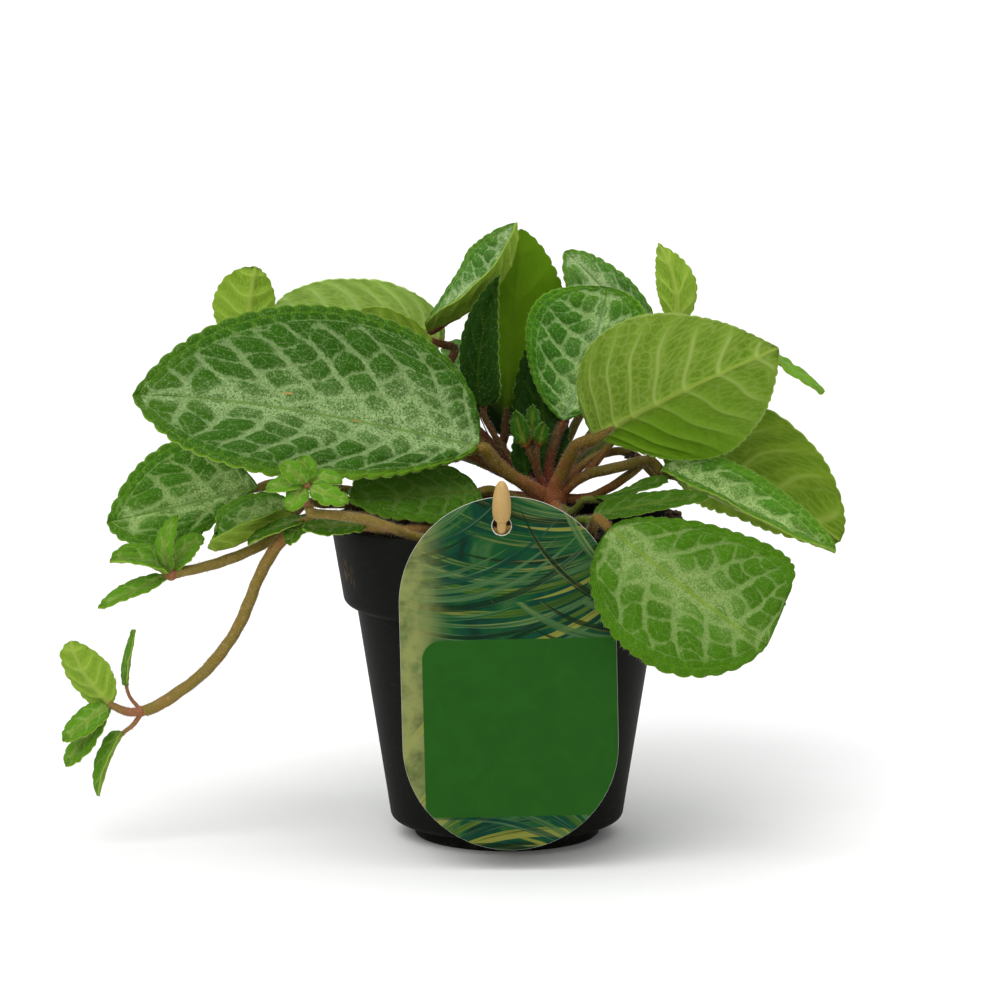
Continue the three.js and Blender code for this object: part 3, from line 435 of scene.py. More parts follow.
def midrib(leaf, s):
    """The midrib's place and direction at s: a parabola through the leaf's base, middle and tip."""
    base, mid, tip = (np.array(place, float) for place in (leaf.base, leaf.mid, leaf.tip))
    control = 2 * mid - (base + tip) / 2
    s = np.asarray(s, float)[..., None]
    place = (1 - s) ** 2 * base + 2 * s * (1 - s) * control + s**2 * tip
    return place, unit((1 - s) * (control - base) + s * (tip - control))


def upward(leaf, along):
    """The way the upper face looks where the midrib goes along."""
    face = np.array(leaf.face, float)
    return unit(face - along * (along @ face)[..., None])


def plain_blade(leaf, s, t):
    """The blade's middle surface without scallops or relief: its places, up direction and half width."""
    across = np.abs(t)
    right = t > 0
    lag = VEIN_LAG * np.sin(np.pi * s) * (1 - 0.3 * s) * (1 - across**1.2)
    place, along = midrib(leaf, s - lag)
    up = upward(leaf, along)
    out = np.cross(along, up) * np.sign(t)[..., None]
    left_half, right_half = (leaf.wide[k] * width_share(s, leaf.peak[k], leaf.point[k]) for k in (0, 1))
    half = across * np.where(right, right_half, left_half)
    fold = np.radians(np.where(right, leaf.fold[1], leaf.fold[0]))
    return place + out * (half * np.cos(fold))[..., None] + up * (half * np.sin(fold))[..., None], up, half


def margin_rows(leaf, step):
    """Values of s that part the blade's margin into steps of even length, the share of it passed at each,
    and the margin's length on one side."""
    fine = (1 - np.cos(np.linspace(0.001, np.pi - 0.001, 3000))) / 2
    walks = [walked(plain_blade(leaf, fine, np.full_like(fine, side))[0]) for side in (-1.0, 1.0)]
    length = np.mean([walk[-1] for walk in walks])
    share = np.linspace(0, 1, max(16, round(length / step)) + 1)
    return np.interp(share, sum(walk / walk[-1] / 2 for walk in walks), fine), share, length


class Value:
    """What a node gives. Arithmetic on it makes nodes."""

    def __init__(self, paint, socket):
        self.paint, self.socket = paint, socket

    def math(self, operation, *others):
        return self.paint.math(operation, self, *others)

    def __add__(self, other):
        return self.math("ADD", other)

    def __sub__(self, other):
        return self.math("SUBTRACT", other)

    def __rsub__(self, other):
        return self.paint.math("SUBTRACT", other, self)

    def __mul__(self, other):
        return self.math("MULTIPLY", other)

    def __truediv__(self, other):
        return self.math("DIVIDE", other)

    def __pow__(self, other):
        return self.math("POWER", other)

    def __abs__(self):
        return self.math("ABSOLUTE")

    __radd__, __rmul__ = __add__, __mul__


# These serve the mesh, with arrays, and its paint, with Values, so that the cushions are the same in both.
def floor(value):
    return value.math("FLOOR") if isinstance(value, Value) else np.floor(value)


def least(first, second):
    return first.math("MINIMUM", second) if isinstance(first, Value) else np.minimum(first, second)


def greatest(first, second):
    return first.math("MAXIMUM", second) if isinstance(first, Value) else np.maximum(first, second)


def choose(value, limit, above, below):
    """One thing where the value is above a limit, and another below it."""
    if isinstance(value, Value):
        return value.paint.blend(value.math("GREATER_THAN", float(limit)), below, above)
    return np.where(value > limit, above, below)


def from_middle(value):
    """How far a number is from the middle between two whole ones, from 0 to 1."""
    return abs((value - floor(value)) * 2 - 1)


def cell_depth(one, other):
    """How deep a place lies in a rounded cell of a grid, by how far it is from the middle each way."""
    return 1 - (one**ROUNDNESS + other**ROUNDNESS) ** (1 / ROUNDNESS)


def cushion_depth(row, cell, phase, rim):
    """How deep a place lies in its cushion, from 1 at its middle to 0 at its edge and less in a corner, and
    the cushion's number in its row."""
    cell = floor(row) * STAGGER + (row * SLANT + cell)
    inner = least(cell_depth(from_middle(row), from_middle(cell)), rim * 2 - 2 * MARGIN_ROWS)
    outward = choose(rim, 1, from_middle(rim), greatest(rim * 2 - 1, 0.0))
    outer = cell_depth(from_middle(floor(rim) * 0.5 + phase), outward)
    return choose(rim, MARGIN_ROWS, inner, outer), floor(cell)


def margin_inward(places):
    """The way into the blade from its margin, for every place of a row, as it is at that end of the row."""
    columns = places.shape[1]
    inward = np.zeros_like(places)
    for column, inner, side in (
        (0, 1, slice(0, columns // 2 + 1)), (columns - 1, columns - 2, slice(columns // 2, None)),
    ):
        walk = unit(np.gradient(places[:, column], axis=0))
        aside = places[:, inner] - places[:, column]
        inward[:, side] = unit(aside - walk * np.sum(aside * walk, 1)[:, None])[:, None]
    return inward


def blade_shape(shape, leaf, seed):
    """Adds a leaf's blade: a closed sheet with scalloped margin, quilted between its veins.

    Its upper face has the piece's first material, its lower face the second."""
    rng = np.random.default_rng(seed)
    length = np.linalg.norm(np.array(leaf.tip, float) - leaf.base)
    width = sum(leaf.wide)
    step = next(step for long, step in ROW_STEPS if length > long)
    s_rows, share, edge_length = margin_rows(leaf, step)
    columns = 2 * max(6, round(width / 2 / step * 0.95))
    even = np.linspace(-1, 1, columns + 1)
    s, t = np.meshgrid(s_rows, 0.65 * even + 0.35 * np.sin(np.pi / 2 * even), indexing="ij")
    across, right = np.abs(t), t > 0
    places, up, half = plain_blade(leaf, s, t)
    share = share[:, None]

    # The margin's scallops cut in from its outline, each a round lobe between two notches.
    depth = SCALLOP_DEPTH * edge_length / leaf.teeth
    phase = share * leaf.teeth + 0.13 * np.sin(share * 23 + seed) + rng.uniform(0.2, 0.5) * right
    notch = 1 - np.abs(np.sin(np.pi * phase)) ** 0.55
    reach = np.clip(np.where(right, leaf.wide[1], leaf.wide[0]) / 2.2, 3, 16)
    ends = smooth(share, 0, 0.03) * smooth(1 - share, 0, 0.012)
    places = places + margin_inward(places) * (depth * notch * ends * across**reach)[..., None]

    # Its cushions lie in rows between the side veins, and small round ones along the margin.
    cushion = CUSHION * np.clip(width / FULL_SIZE, SMALLEST, 1)
    row_size = cushion * MARGIN_ROW * (1 if width > NARROW else NARROW_ROWS)
    off = np.sign(t) * half
    rim = half * (1 / np.maximum(across, 0.03) - 1) / row_size
    passed = leaf.veins * (s - VEIN_BEND * across**1.8 * np.sin(np.pi * s)) + 0.5
    passed = passed + 0.06 * np.sin(off / cushion * 2.1 + seed)
    cell = half / cushion * (1 + 0.16 * np.sin(1.3 * passed + seed))
    cell = cell + 0.16 * np.sin(3.7 * passed + 2 * seed) + 3 * right
    depths, _ = cushion_depth(passed, cell, phase, rim)

    # The relief that both faces share, then that of each.
    scale = leaf.relief * min(1, width / FULL_RELIEF) ** 0.5
    body = np.sqrt(np.clip(across * (1 - across), 0, None)) * 2
    quilt = QUILT * scale * (np.abs(np.sin(np.pi * passed)) ** 0.8 - 0.5) * body
    groove = -GROOVE * scale * np.exp(-((half / (1.1 * scale)) ** 2))
    waves = np.sin(share * (9 + seed % 4) + 1.7 * seed) + 0.6 * np.sin(share * 25 + seed) * np.sign(t)
    curl = -MARGIN_CURL * scale * across**10 * (1 - notch) * ends
    shared = quilt + groove + MARGIN_WAVE * scale * across**3 * waves + curl

    pillow = PILLOW * scale * smooth(depths, -0.1, 0.75) * (0.35 + 0.65 * smooth(across, 0.1, 0.5))
    pillow *= np.where(rim < MARGIN_ROWS, 0.55, 1) * smooth(rim, 0, 0.3)
    thick = MARGIN_THICKNESS + (BLADE_THICKNESS - MARGIN_THICKNESS) * smooth(1 - across, 0, 0.25)
    from_vein = np.abs(passed - np.round(passed)) * length / leaf.veins * 0.85
    ridge = RIDGE * scale * np.exp(-((from_vein / 0.6) ** 2)) * (1 - smooth(across, 0.55, 0.95))
    rib = RIB_RIDGE * scale * (1 - 0.75 * s) * np.exp(-((half / (1.15 * scale)) ** 2))
    normal = unit(np.cross(np.gradient(places, axis=1), np.gradient(places, axis=0)))
    normal = np.where((np.sum(normal * up, -1) < 0)[..., None], -normal, normal)
    upper = places + normal * (shared + pillow + thick / 2)[..., None]
    lower = places + normal * (shared + UNDER_PILLOW * pillow - thick / 2 - ridge - rib)[..., None]

    # Both faces are one grid, and a wall joins them all round.
    rows, columns = s.shape
    count = rows * columns
    faces = grid_faces(rows, columns)
    corners, out = upper.reshape(-1, 3)[faces], normal.reshape(-1, 3)[faces[:, 0]]
    facing = np.cross(corners[:, 1] - corners[:, 0], corners[:, 3] - corners[:, 0])
    turn = slice(None, None, -1 if np.sum(facing * out) < 0 else 1)
    back = slice(None, None, -turn.step)
    index = np.arange(count).reshape(rows, columns)
    ring = np.concatenate([index[0, :-1], index[:-1, -1], index[-1, :0:-1], index[:0:-1, 0]])
    following = np.roll(ring, -1)
    wall = np.stack([ring, following, following + count, ring + count], 1)
    maps = dict(blade=(s, t), veins=(passed, off), cells=(passed, cell), margin=(phase, rim))
    maps = {name: np.tile(np.stack(pair, -1).reshape(-1, 2), (2, 1)) for name, pair in maps.items()}
    start = shape.count
    shape.add(np.concatenate([upper.reshape(-1, 3), lower.reshape(-1, 3)]), [faces[:, turn]], 0, **maps)
    shape.faces += [(faces[:, back] + count + start, 1), (wall[:, back] + start, 1)]
    return dict(upper=upper, lower=lower, normal=normal)


def smooth_path(points, every=1.2):
    """Places on a centripetal Catmull-Rom curve through the points, about that many millimetres apart."""
    points = np.array(points, float)
    ends = [2 * points[0] - points[1], *points, 2 * points[-1] - points[-2]]
    places = []
    for p0, p1, p2, p3 in zip(ends, ends[1:], ends[2:], ends[3:]):
        gaps = [max(np.linalg.norm(b - a), 1e-6) ** 0.5 for a, b in ((p0, p1), (p1, p2), (p2, p3))]
        leave = ((p1 - p0) / gaps[0] - (p2 - p0) / (gaps[0] + gaps[1]) + (p2 - p1) / gaps[1]) * gaps[1]
        arrive = ((p2 - p1) / gaps[1] - (p3 - p1) / (gaps[1] + gaps[2]) + (p3 - p2) / gaps[2]) * gaps[1]
        steps = max(2, round(np.linalg.norm(p2 - p1) / every))
        u = np.linspace(0, 1, steps, endpoint=False)[:, None]
        square, cube = 3 * (p2 - p1) - 2 * leave - arrive, 2 * (p1 - p2) + leave + arrive
        places.append(p1 + leave * u + square * u**2 + cube * u**3)
    return np.concatenate([*places, points[-1:]])


def frames_along(path):
    """The direction of a path and two directions square to it, without twist."""
    along = unit(np.gradient(path, axis=0))
    aside = np.zeros_like(path)
    first = np.cross(along[0], (0, 0, 1) if abs(along[0, 2]) < 0.9 else (1, 0, 0))
    aside[0] = first / np.linalg.norm(first)
    for i in range(1, len(path)):
        aside[i] = unit(aside[i - 1] - along[i] * (aside[i - 1] @ along[i]))
    return along, aside, np.cross(along, aside)


def tube(shape, path, radii, sides=14, paint=0, seed=0, lumps=0.04):
    """Adds a closed stem along a path, with a radius at each place, a little uneven as grown stems are."""
    rng = np.random.default_rng(seed)
    along, aside, over = frames_along(path)
    radii = np.broadcast_to(radii, len(path))
    walk = walked(path)
    angle = np.linspace(0, 2 * np.pi, sides, endpoint=False)
    phases = rng.uniform(0, 6.3, 4)
    uneven = 1 + lumps * (
        np.sin(walk[:, None] * 0.31 + 2 * angle + phases[0])
        + np.sin(walk[:, None] * 0.83 - angle + phases[1])
        + 0.5 * np.sin(walk[:, None] * 0.13 + 3 * angle + phases[2])
    )
    spread = aside[:, None] * np.cos(angle)[:, None] + over[:, None] * np.sin(angle)[:, None]
    rings = path[:, None] + spread * (radii[:, None] * uneven)[..., None]
    ends = [path[:1] - along[:1] * radii[0] * 0.3, path[-1:] + along[-1:] * radii[-1] * 0.5]
    share = np.concatenate([np.repeat(walk / walk[-1], sides), [0, 1]])
    shape.add(np.concatenate([rings.reshape(-1, 3), *ends]), ring_faces(len(path), sides), paint,
              blade=np.stack([share, np.zeros_like(share)], 1))


def lathe(profile, sides):
    """A profile of (radius, height) turned about Z. It starts and ends on the axis."""
    angle = np.linspace(0, 2 * np.pi, sides, endpoint=False)
    rings = [(r, z) for r, z in profile if r > 0]
    places = [(r * math.cos(a), r * math.sin(a), z) for r, z in rings for a in angle]
    places += [(0, 0, profile[0][1]), (0, 0, profile[-1][1])]
    return Shape().add(places, ring_faces(len(rings), sides))


def arc(radius, height, size, start, end, steps):
    """Places on a round stretch of a profile, its angles in degrees."""
    turns = np.radians(np.linspace(start, end, steps + 1))
    return [(radius + size * math.cos(a), height + size * math.sin(a)) for a in turns]


def between(low, high, steps, last):
    """Even steps on a straight stretch of a profile, after its low end and up to the last step named."""
    (r0, z0), (r1, z1) = low, high
    return [(r0 + (r1 - r0) * k / steps, z0 + (z1 - z0) * k / steps) for k in range(1, last + 1)]


def knuckle(shape, centre, radius, paint=0):
    """Adds a rounded swelling that stalks part from."""
    shape.copy(lathe([(0, -radius), *arc(0, 0, radius, -80, 80, 9), (0, radius)], 16), centre, paint)


class Needles:
    """Fine hairs: slim closed needles with three sides, many to a piece."""

    def __init__(self):
        self.roots, self.ways, self.lengths, self.radii = [], [], [], []

    def add(self, roots, ways, lengths, radius):
        self.roots.append(roots)
        self.ways.append(unit(ways))
        self.lengths.append(lengths)
        self.radii.append(np.full(len(roots), radius))

    def shape(self):
        roots, ways, lengths, radii = map(np.concatenate, (self.roots, self.ways, self.lengths, self.radii))
        helper = np.where(np.abs(ways[:, 2:]) < 0.9, (0.0, 0.0, 1.0), (1.0, 0.0, 0.0))
        aside = unit(np.cross(ways, helper))
        over = np.cross(ways, aside)
        corners = [
            roots - ways * 0.1 + radii[:, None] * (aside * math.cos(a) + over * math.sin(a))
            for a in (0, 2 * math.pi / 3, 4 * math.pi / 3)
        ]
        places = np.stack([*corners, roots + ways * lengths[:, None]], 1)
        first = 4 * np.arange(len(roots))[:, None]
        faces = np.concatenate([first + np.array(f) for f in ((0, 1, 3), (1, 2, 3), (2, 0, 3), (0, 2, 1))])
        return Shape().add(places, [faces])


def hair_blade(needles, blade, seed, density=BLADE_HAIRS):
    """Hairs on a blade: so many to a square millimetre of its upper face, and more along its margin."""
    rng = np.random.default_rng(seed + BLADE_HAIR_SEED)
    grid, lower = blade["upper"], blade["lower"]
    cell = np.linalg.norm(np.cross(grid[1:, :-1] - grid[:-1, :-1], grid[:-1, 1:] - grid[:-1, :-1]), axis=-1)
    count = rng.poisson(cell.sum() * density)
    chosen = rng.choice(cell.size, count, p=(cell / cell.sum()).ravel())
    i, j = np.divmod(chosen, grid.shape[1] - 1)
    u, v = rng.random((2, count, 1))
    near, far = grid[i, j] * (1 - u) + grid[i + 1, j] * u, grid[i, j + 1] * (1 - u) + grid[i + 1, j + 1] * u
    ways = blade["normal"][i, j] + rng.normal(0, 0.4, (count, 3))
    needles.add(near * (1 - v) + far * v, ways, rng.uniform(*SHORT_HAIRS, count), HAIR_RADIUS)
    for column, inner in ((0, 2), (-1, -3)):
        edge, inside = ((grid[:, at] + lower[:, at]) / 2 for at in (column, inner))
        walk = np.linalg.norm(np.diff(edge, axis=0), axis=1)
        count = int(walk.sum() * MARGIN_HAIRS)
        i = rng.choice(len(walk), count, p=walk / walk.sum())
        u = rng.random((count, 1))
        ways = unit(edge[i] - inside[i]) + rng.normal(0, 0.35, (count, 3))
        needles.add(edge[i] * (1 - u) + edge[i + 1] * u, ways, rng.uniform(*LONG_HAIRS, count), HAIR_RADIUS)


def hair_stem(needles, path, radii, seed, density, skip=0.0):
    """Hairs on a stem, so many to a square millimetre of its side, but none on that share at its start."""
    rng = np.random.default_rng(seed + STEM_HAIR_SEED)
    _, aside, over = frames_along(path)
    walk = np.linalg.norm(np.diff(path, axis=0), axis=1)
    radii = np.broadcast_to(radii, len(path))
    count = int(walk.sum() * 2 * np.pi * float(np.mean(radii)) * density)
    i = rng.choice(len(walk), count, p=walk / walk.sum())
    i = i[i >= skip * len(walk)]
    u = rng.random((len(i), 1))
    turn = rng.uniform(0, 2 * np.pi, (len(i), 1))
    out = aside[i] * np.cos(turn) + over[i] * np.sin(turn)
    roots = path[i] * (1 - u) + path[i + 1] * u + out * radii[i][:, None] * 0.97
    ways = out + rng.normal(0, 0.3, (len(i), 3))
    needles.add(roots, ways, rng.uniform(*LONG_HAIRS, len(i)), STEM_HAIR_RADIUS)


def stalk_path(leaf):
    """A leaf's stalk from the stem's head to its blade, and on below the blade as the midrib starts."""
    head = np.array(STEM_HEAD)
    start = head + unit(np.array(leaf.stalk[0], float) - head) * (STEM_HEAD_RADIUS - 2)
    base = np.array(leaf.base, float)
    _, along = midrib(leaf, 0.0)
    end = base - along * (GAP + BLADE_THICKNESS / 2)
    before = end - along * leaf.lead * leaf.thick
    tail = []
    for s, taper in STALK_TAIL:
        place, way = midrib(leaf, s)
        tail.append(place - upward(leaf, way) * (leaf.thick * taper + STALK_TAIL_GAP))
    path = smooth_path([start, *leaf.stalk, before, end - upward(leaf, along) * leaf.thick * 0.7, *tail])
    reach = np.linalg.norm(tail[-1] - base)
    narrowed = 1 - 0.85 * np.clip(np.linalg.norm(path - base, axis=1) / reach, 0, 1)
    taper = np.where((path - base) @ along > 0, narrowed, 1)
    swell = 1 + 0.16 * np.exp(-np.arange(len(path)) / 5)
    return path, leaf.thick * taper * swell


class Paint:
    """A material's nodes. What a node takes may be a number, a colour, or what another node gives."""

    def __init__(self, name, **shader):
        self.material = bpy.data.materials.new(name)
        self.material.use_nodes = True
        self.tree = self.material.node_tree
        self.shader = self.tree.nodes["Principled BSDF"]
        self.set(**shader)

    def put(self, socket, value):
        if isinstance(value, Value):
            self.tree.links.new(value.socket, socket)
        else:
            socket.default_value = (*value, 1) if socket.type == "RGBA" else value

    def set(self, **shader):
        """Sets the shader's sockets, named in words joined by _."""
        titles = {"ior": "IOR", "specular_ior_level": "Specular IOR Level"}
        for name, value in shader.items():
            self.put(self.shader.inputs[titles.get(name, name.replace("_", " ").title())], value)
        return self

    def node(self, kind, inputs, **settings):
        made = self.tree.nodes.new("ShaderNode" + kind)
        for name, value in settings.items():
            setattr(made, name, value)
        for name, value in dict(inputs).items():
            self.put(made.inputs[name], value)
        return made

    def value(self, output, kind, inputs, **settings):
        return Value(self, self.node(kind, inputs, **settings).outputs[output])

    def parts(self, kind, value):
        return [Value(self, part) for part in self.node(kind, {0: value}).outputs]

    def math(self, operation, *values):
        return self.value(0, "Math", enumerate(values), operation=operation)

    def step(self, value, low, high, start=0.0, end=1.0):
        """Goes smoothly from start to end as the value goes from low to high, which may be the lesser."""
        sockets = {"Value": value, "From Min": low, "From Max": high, "To Min": start, "To Max": end}
        return self.value(0, "MapRange", sockets, interpolation_type="SMOOTHSTEP")

    def mix(self, share, first, second):
        return self.value(2, "Mix", {0: share, 6: first, 7: second}, data_type="RGBA")

    def blend(self, share, first, second):
        return self.value(0, "Mix", {0: share, 2: first, 3: second}, data_type="FLOAT")

    def map(self, name):
        """The two numbers of a mesh map, and both together."""
        whole = self.value(0, "UVMap", {}, uv_map=name)
        first, second, _ = self.parts("SeparateXYZ", whole)
        return first, second, whole

    def place(self, **mapping):
        """Where the surface is, in metres, turned and stretched."""
        here = self.value("Object", "TexCoord", {})
        return self.value(0, "Mapping", {"Vector": here, **mapping})

    def distance(self, where, point):
        return self.value("Value", "VectorMath", {0: where, 1: point}, operation="DISTANCE")

    def noise(self, scale, detail=2.0, roughness=0.5, where=None, distortion=0.0):
        sockets = {"Scale": scale, "Detail": detail, "Roughness": roughness, "Distortion": distortion}
        return self.value(0, "TexNoise", {"Vector": where or self.place(), **sockets})

    def net(self, scale):
        """The leaf's net of veins, on its own map: how far the nearest one is."""
        sockets = {"Vector": self.map("cells")[2], "Scale": scale, "Randomness": NET_IRREGULARITY}
        settings = dict(voronoi_dimensions="2D", feature="DISTANCE_TO_EDGE")
        return self.value("Distance", "TexVoronoi", sockets, **settings)

    def cushions(self):
        """How deep a place lies in its cushion, how far from a side vein, its rows from the margin, and a
        random number for each cushion."""
        row, cell, _ = self.map("cells")
        phase, rim, _ = self.map("margin")
        depth, number = cushion_depth(row, cell, phase, rim)
        both = self.value(0, "CombineXYZ", {0: floor(row), 1: number})
        chance = self.value("Value", "TexWhiteNoise", {"Vector": both}, noise_dimensions="2D")
        return depth, abs(row - row.math("ROUND")), rim, chance

    def bump(self, height, distance, strength):
        return self.value(0, "Bump", {"Height": height, "Distance": distance, "Strength": strength})

    def ramp(self, share, stops, interpolation="LINEAR"):
        """The colour at a share, between stops given as pairs of place and colour."""
        node = self.node("ValToRGB", {0: share})
        node.color_ramp.interpolation = interpolation
        elements = node.color_ramp.elements
        while len(elements) < len(stops):
            elements.new(0.5)
        for element, (place, colour) in zip(elements, stops):
            element.position, element.color = place, (*colour, 1)
        return Value(self, node.outputs[0])


def tint(colour, times, plus=0.0):
    """A colour made lighter or darker."""
    return tuple(min(1, c * times + plus) for c in colour)


def tints(first, times, second, others):
    """So much of one colour and so much of another."""
    return tuple(a * times + b * others for a, b in zip(first, second))


SPECK_SIZE, SPECK_COLOUR = (0.021, 0.014), (0.36, 0.24, 0.07)


def leaf_top(name, dark, mint, margin, rib, haze=0.3, net=1.0, fuzz=0.8, foot=None, glow=0.0, specks=()):
    """The upper face: dark cushions in a net of minty veins, hazy beside the midrib and downy all over."""
    p = Paint(name, specular_ior_level=0.05)
    along, side, here = p.map("blade")
    across, off = abs(side), abs(p.map("veins")[1])
    soft, drift, down, sand = p.noise(95, 3), p.noise(38, 2), p.noise(1500, 2, 0.65), p.noise(560, 3, 0.6)
    depth, vein, rim, chance = p.cushions()
    # The haze lies along the midrib, wider towards the leaf's base, and along the side veins.
    spread = across + (soft * 0.8 + (along * 0.3 - 0.5))
    near = p.step(spread, haze + 0.26, haze - 0.22) * p.step(rim, 1.6, 3.0)
    inner = p.step(rim, MARGIN_ROWS - 0.5, MARGIN_ROWS + 0.4)
    vein_line = p.step(vein, 0.055, 0.01) * p.step(across, 0.9, 0.5)
    vein_haze = p.step(vein, 0.2, 0.02) * p.step(across, 0.95, 0.2)
    mist = greatest(near, vein_haze * 0.6)
    # The cushions have ragged edges, and a finer net of veins crosses them.
    wide = p.blend(mist, p.step(inner, 0.0, 1.0, 0.09, -0.06), 0.26) * net
    cushion = p.step(depth + (sand * 0.7 + (p.noise(230, 3) * 0.5 - 0.6)), wide, wide + 0.26)
    cushion = cushion * (near * -0.5 + 1) * (vein_line * -0.85 + 1)
    minor = p.step(soft * 0.12 + p.net(2.1), 0.15, 0.04) * (0.42 * net)
    cushion = cushion * (1 - minor * inner)
    light = tint(dark, 1.9, 0.002)
    green = p.mix(chance * 0.4 + (drift * 0.35 + sand * 0.3), dark, light)
    edging = greatest(p.step(along, 0.7, 1.0, 0.0, 0.6), p.step(rim, 1.4, 0.1, 0.0, 0.4))
    green = p.mix(edging, green, tints(margin, 0.45, light, 0.3))
    line = p.mix(inner, tints(margin, 0.35, light, 0.55), tints(mint, 0.6, light, 0.35))
    colour = p.mix(cushion, p.mix(mist, line, p.mix(soft, mint, tint(mint, 1.2))), green)
    # White down flecks the haze most, and bare green shows through it between the hairs.
    flecks = p.step(down, 0.54, 0.66) * (mist * 0.45 + 0.2)
    colour = p.mix(flecks * fuzz, colour, tint(mint, 1.6, 0.02))
    colour = p.mix(p.step(down, 0.49, 0.38) * (mist * (0.6 * fuzz) + 0.2), colour, green)
    colour = p.mix(p.step(rim, 0.3, 0.04), colour, margin)
    if glow:
        # Light from below shines through one side of the blade and through its base.
        lit = p.step(side * glow, 0.1, 0.3) * p.step(along, 0.66, 0.4) * p.step(soft * 1.2 + rim, 2.7, 1.2)
        lit = greatest(lit, p.step(along, 0.07, 0.02) * p.step(side, 0.2, -0.2))
        colour = p.mix(lit * 0.8, colour, margin)
    colour = p.mix(p.step(off, 0.9, 0.3) * p.step(along, 1.0, 0.7) * 0.8, colour, rib)
    if foot:
        colour = p.mix(p.step(along, 0.42, 0.04), colour, foot)
    for speck in specks:
        near = p.distance(here, (*speck, 0)) + sand * 0.012
        colour = p.mix(p.step(near, *SPECK_SIZE), colour, SPECK_COLOUR)
    bump = p.bump(cushion * 0.4 + down * 0.4, 0.00028, 0.5)
    return p.set(base_color=colour, roughness=sand * 0.2 + 0.5, normal=bump).material


def leaf_under(name, base, vein, deep, rib, foot, shaded_side=0.0, shaded_from=0.5, net=1.0, low=None):
    """The lower face: smooth and pale, with soft raised veins, a rib that is brown at its foot, and on
    some, painted shade on one side, on others towards the base.
    """
    p = Paint(name, specular_ior_level=0.06, subsurface_weight=0.1, subsurface_scale=0.0012,
              subsurface_radius=(0.7, 1.0, 0.2))
    along, side, _ = p.map("blade")
    across, off = abs(side), abs(p.map("veins")[1])
    drift, soft, sand = p.noise(45, 2), p.noise(130, 3), p.noise(700, 2, 0.6)
    _, away, rim, _ = p.cushions()
    ladder, hair = p.net(2.3), p.net(5.5)
    line = p.step(away, 0.13, 0.01) * p.step(across, 1.0, 0.6, 0.0, min(1.0, net))
    mesh = p.step(ladder + (soft * 0.3 - 0.15), 0.16, 0.01) * (0.48 * net)
    veins = greatest(line, greatest(mesh, p.step(hair, 0.16, 0.0) * (0.3 * net)))
    patch = p.step(ladder, 0.12, 0.36) * p.step(soft, 0.4, 0.66) * p.step(across, 1.0, 0.3, 0.1, 0.75)
    body = p.mix(drift * 0.35 + patch * net, base, deep)
    body = p.mix(p.step(away, 0.16, 0.42) * (0.5 * net), body, deep)
    colour = p.mix(veins * 0.85, body, vein)
    if shaded_side:
        shade = p.step(drift * 0.3 + side * shaded_side, shaded_from - 0.1, shaded_from + 0.3)
        shade = shade * p.step(along, 1.0, 0.35, 0.1, 1.0)
        colour = p.mix(shade * 0.85, colour, p.mix(soft, tint(deep, 1.25), tint(deep, 1.75)))
    # Painted shade: the blade darkens to near black towards its base, where it sits low in the crown among
    # the stalks.
    if low:
        colour = p.mix(p.step(drift * 0.2 + along, 0.75, 0.25), colour, low)
    colour = p.mix(p.step(rim, 0.35, 0.05, 0.0, 0.6), colour, tint(vein, 1.05))
    rib_line = p.step(off, p.step(along, 0, 1, 1.9, 0.8), p.step(along, 0, 1, 0.9, 0.2), 0.0, 0.9)
    rib_line = rib_line * (1.0 if net > 0.3 else 0.35)
    colour = p.mix(rib_line, colour, p.mix(p.step(along, 0.0, 0.3), foot, rib))
    bump = p.bump(veins * 0.7 + sand * 0.25, 0.00022, 0.5)
    return p.set(base_color=colour, roughness=sand * 0.2 + 0.46, normal=bump).material


def stalk_paint(name, olive, red, pale, redness=0.2, red_start=0.0, red_end=0.5):
    """A downy stem: olive with a red flush, streaked along its length."""
    p = Paint(name, specular_ior_level=0.12, sheen_weight=0.08, sheen_roughness=0.35,
              sheen_tint=(1, 0.85, 0.75))
    flush, streak, down = p.noise(110, 3), p.noise(420, 2), p.noise(1700, 1)
    share = p.step(p.map("blade")[0], red_start, red_end) * -0.4 + (flush + redness)
    colour = p.mix(p.step(share, 0.3, 0.75), olive, red)
    colour = p.mix(p.step(streak, 0.5, 0.75) * 0.3, colour, pale)
    colour = p.mix(p.step(down, 0.58, 0.72) * 0.25, colour, tint(pale, 1.5, 0.03))
    return p.set(base_color=colour, roughness=p.step(streak, 0, 1, 0.45, 0.65),
                 normal=p.bump(down + streak, 0.00018, 0.5)).material


def hair_paint(name, colour):
    p = Paint(name, roughness=0.5, specular_ior_level=0.2)
    return p.set(base_color=p.mix(p.noise(300), colour, tint(colour, 0.8))).material


SMEAR_PLACE, SMEAR_SIZE = (-0.0540, -0.0215, 0.0925), (0.0075, 0.001)


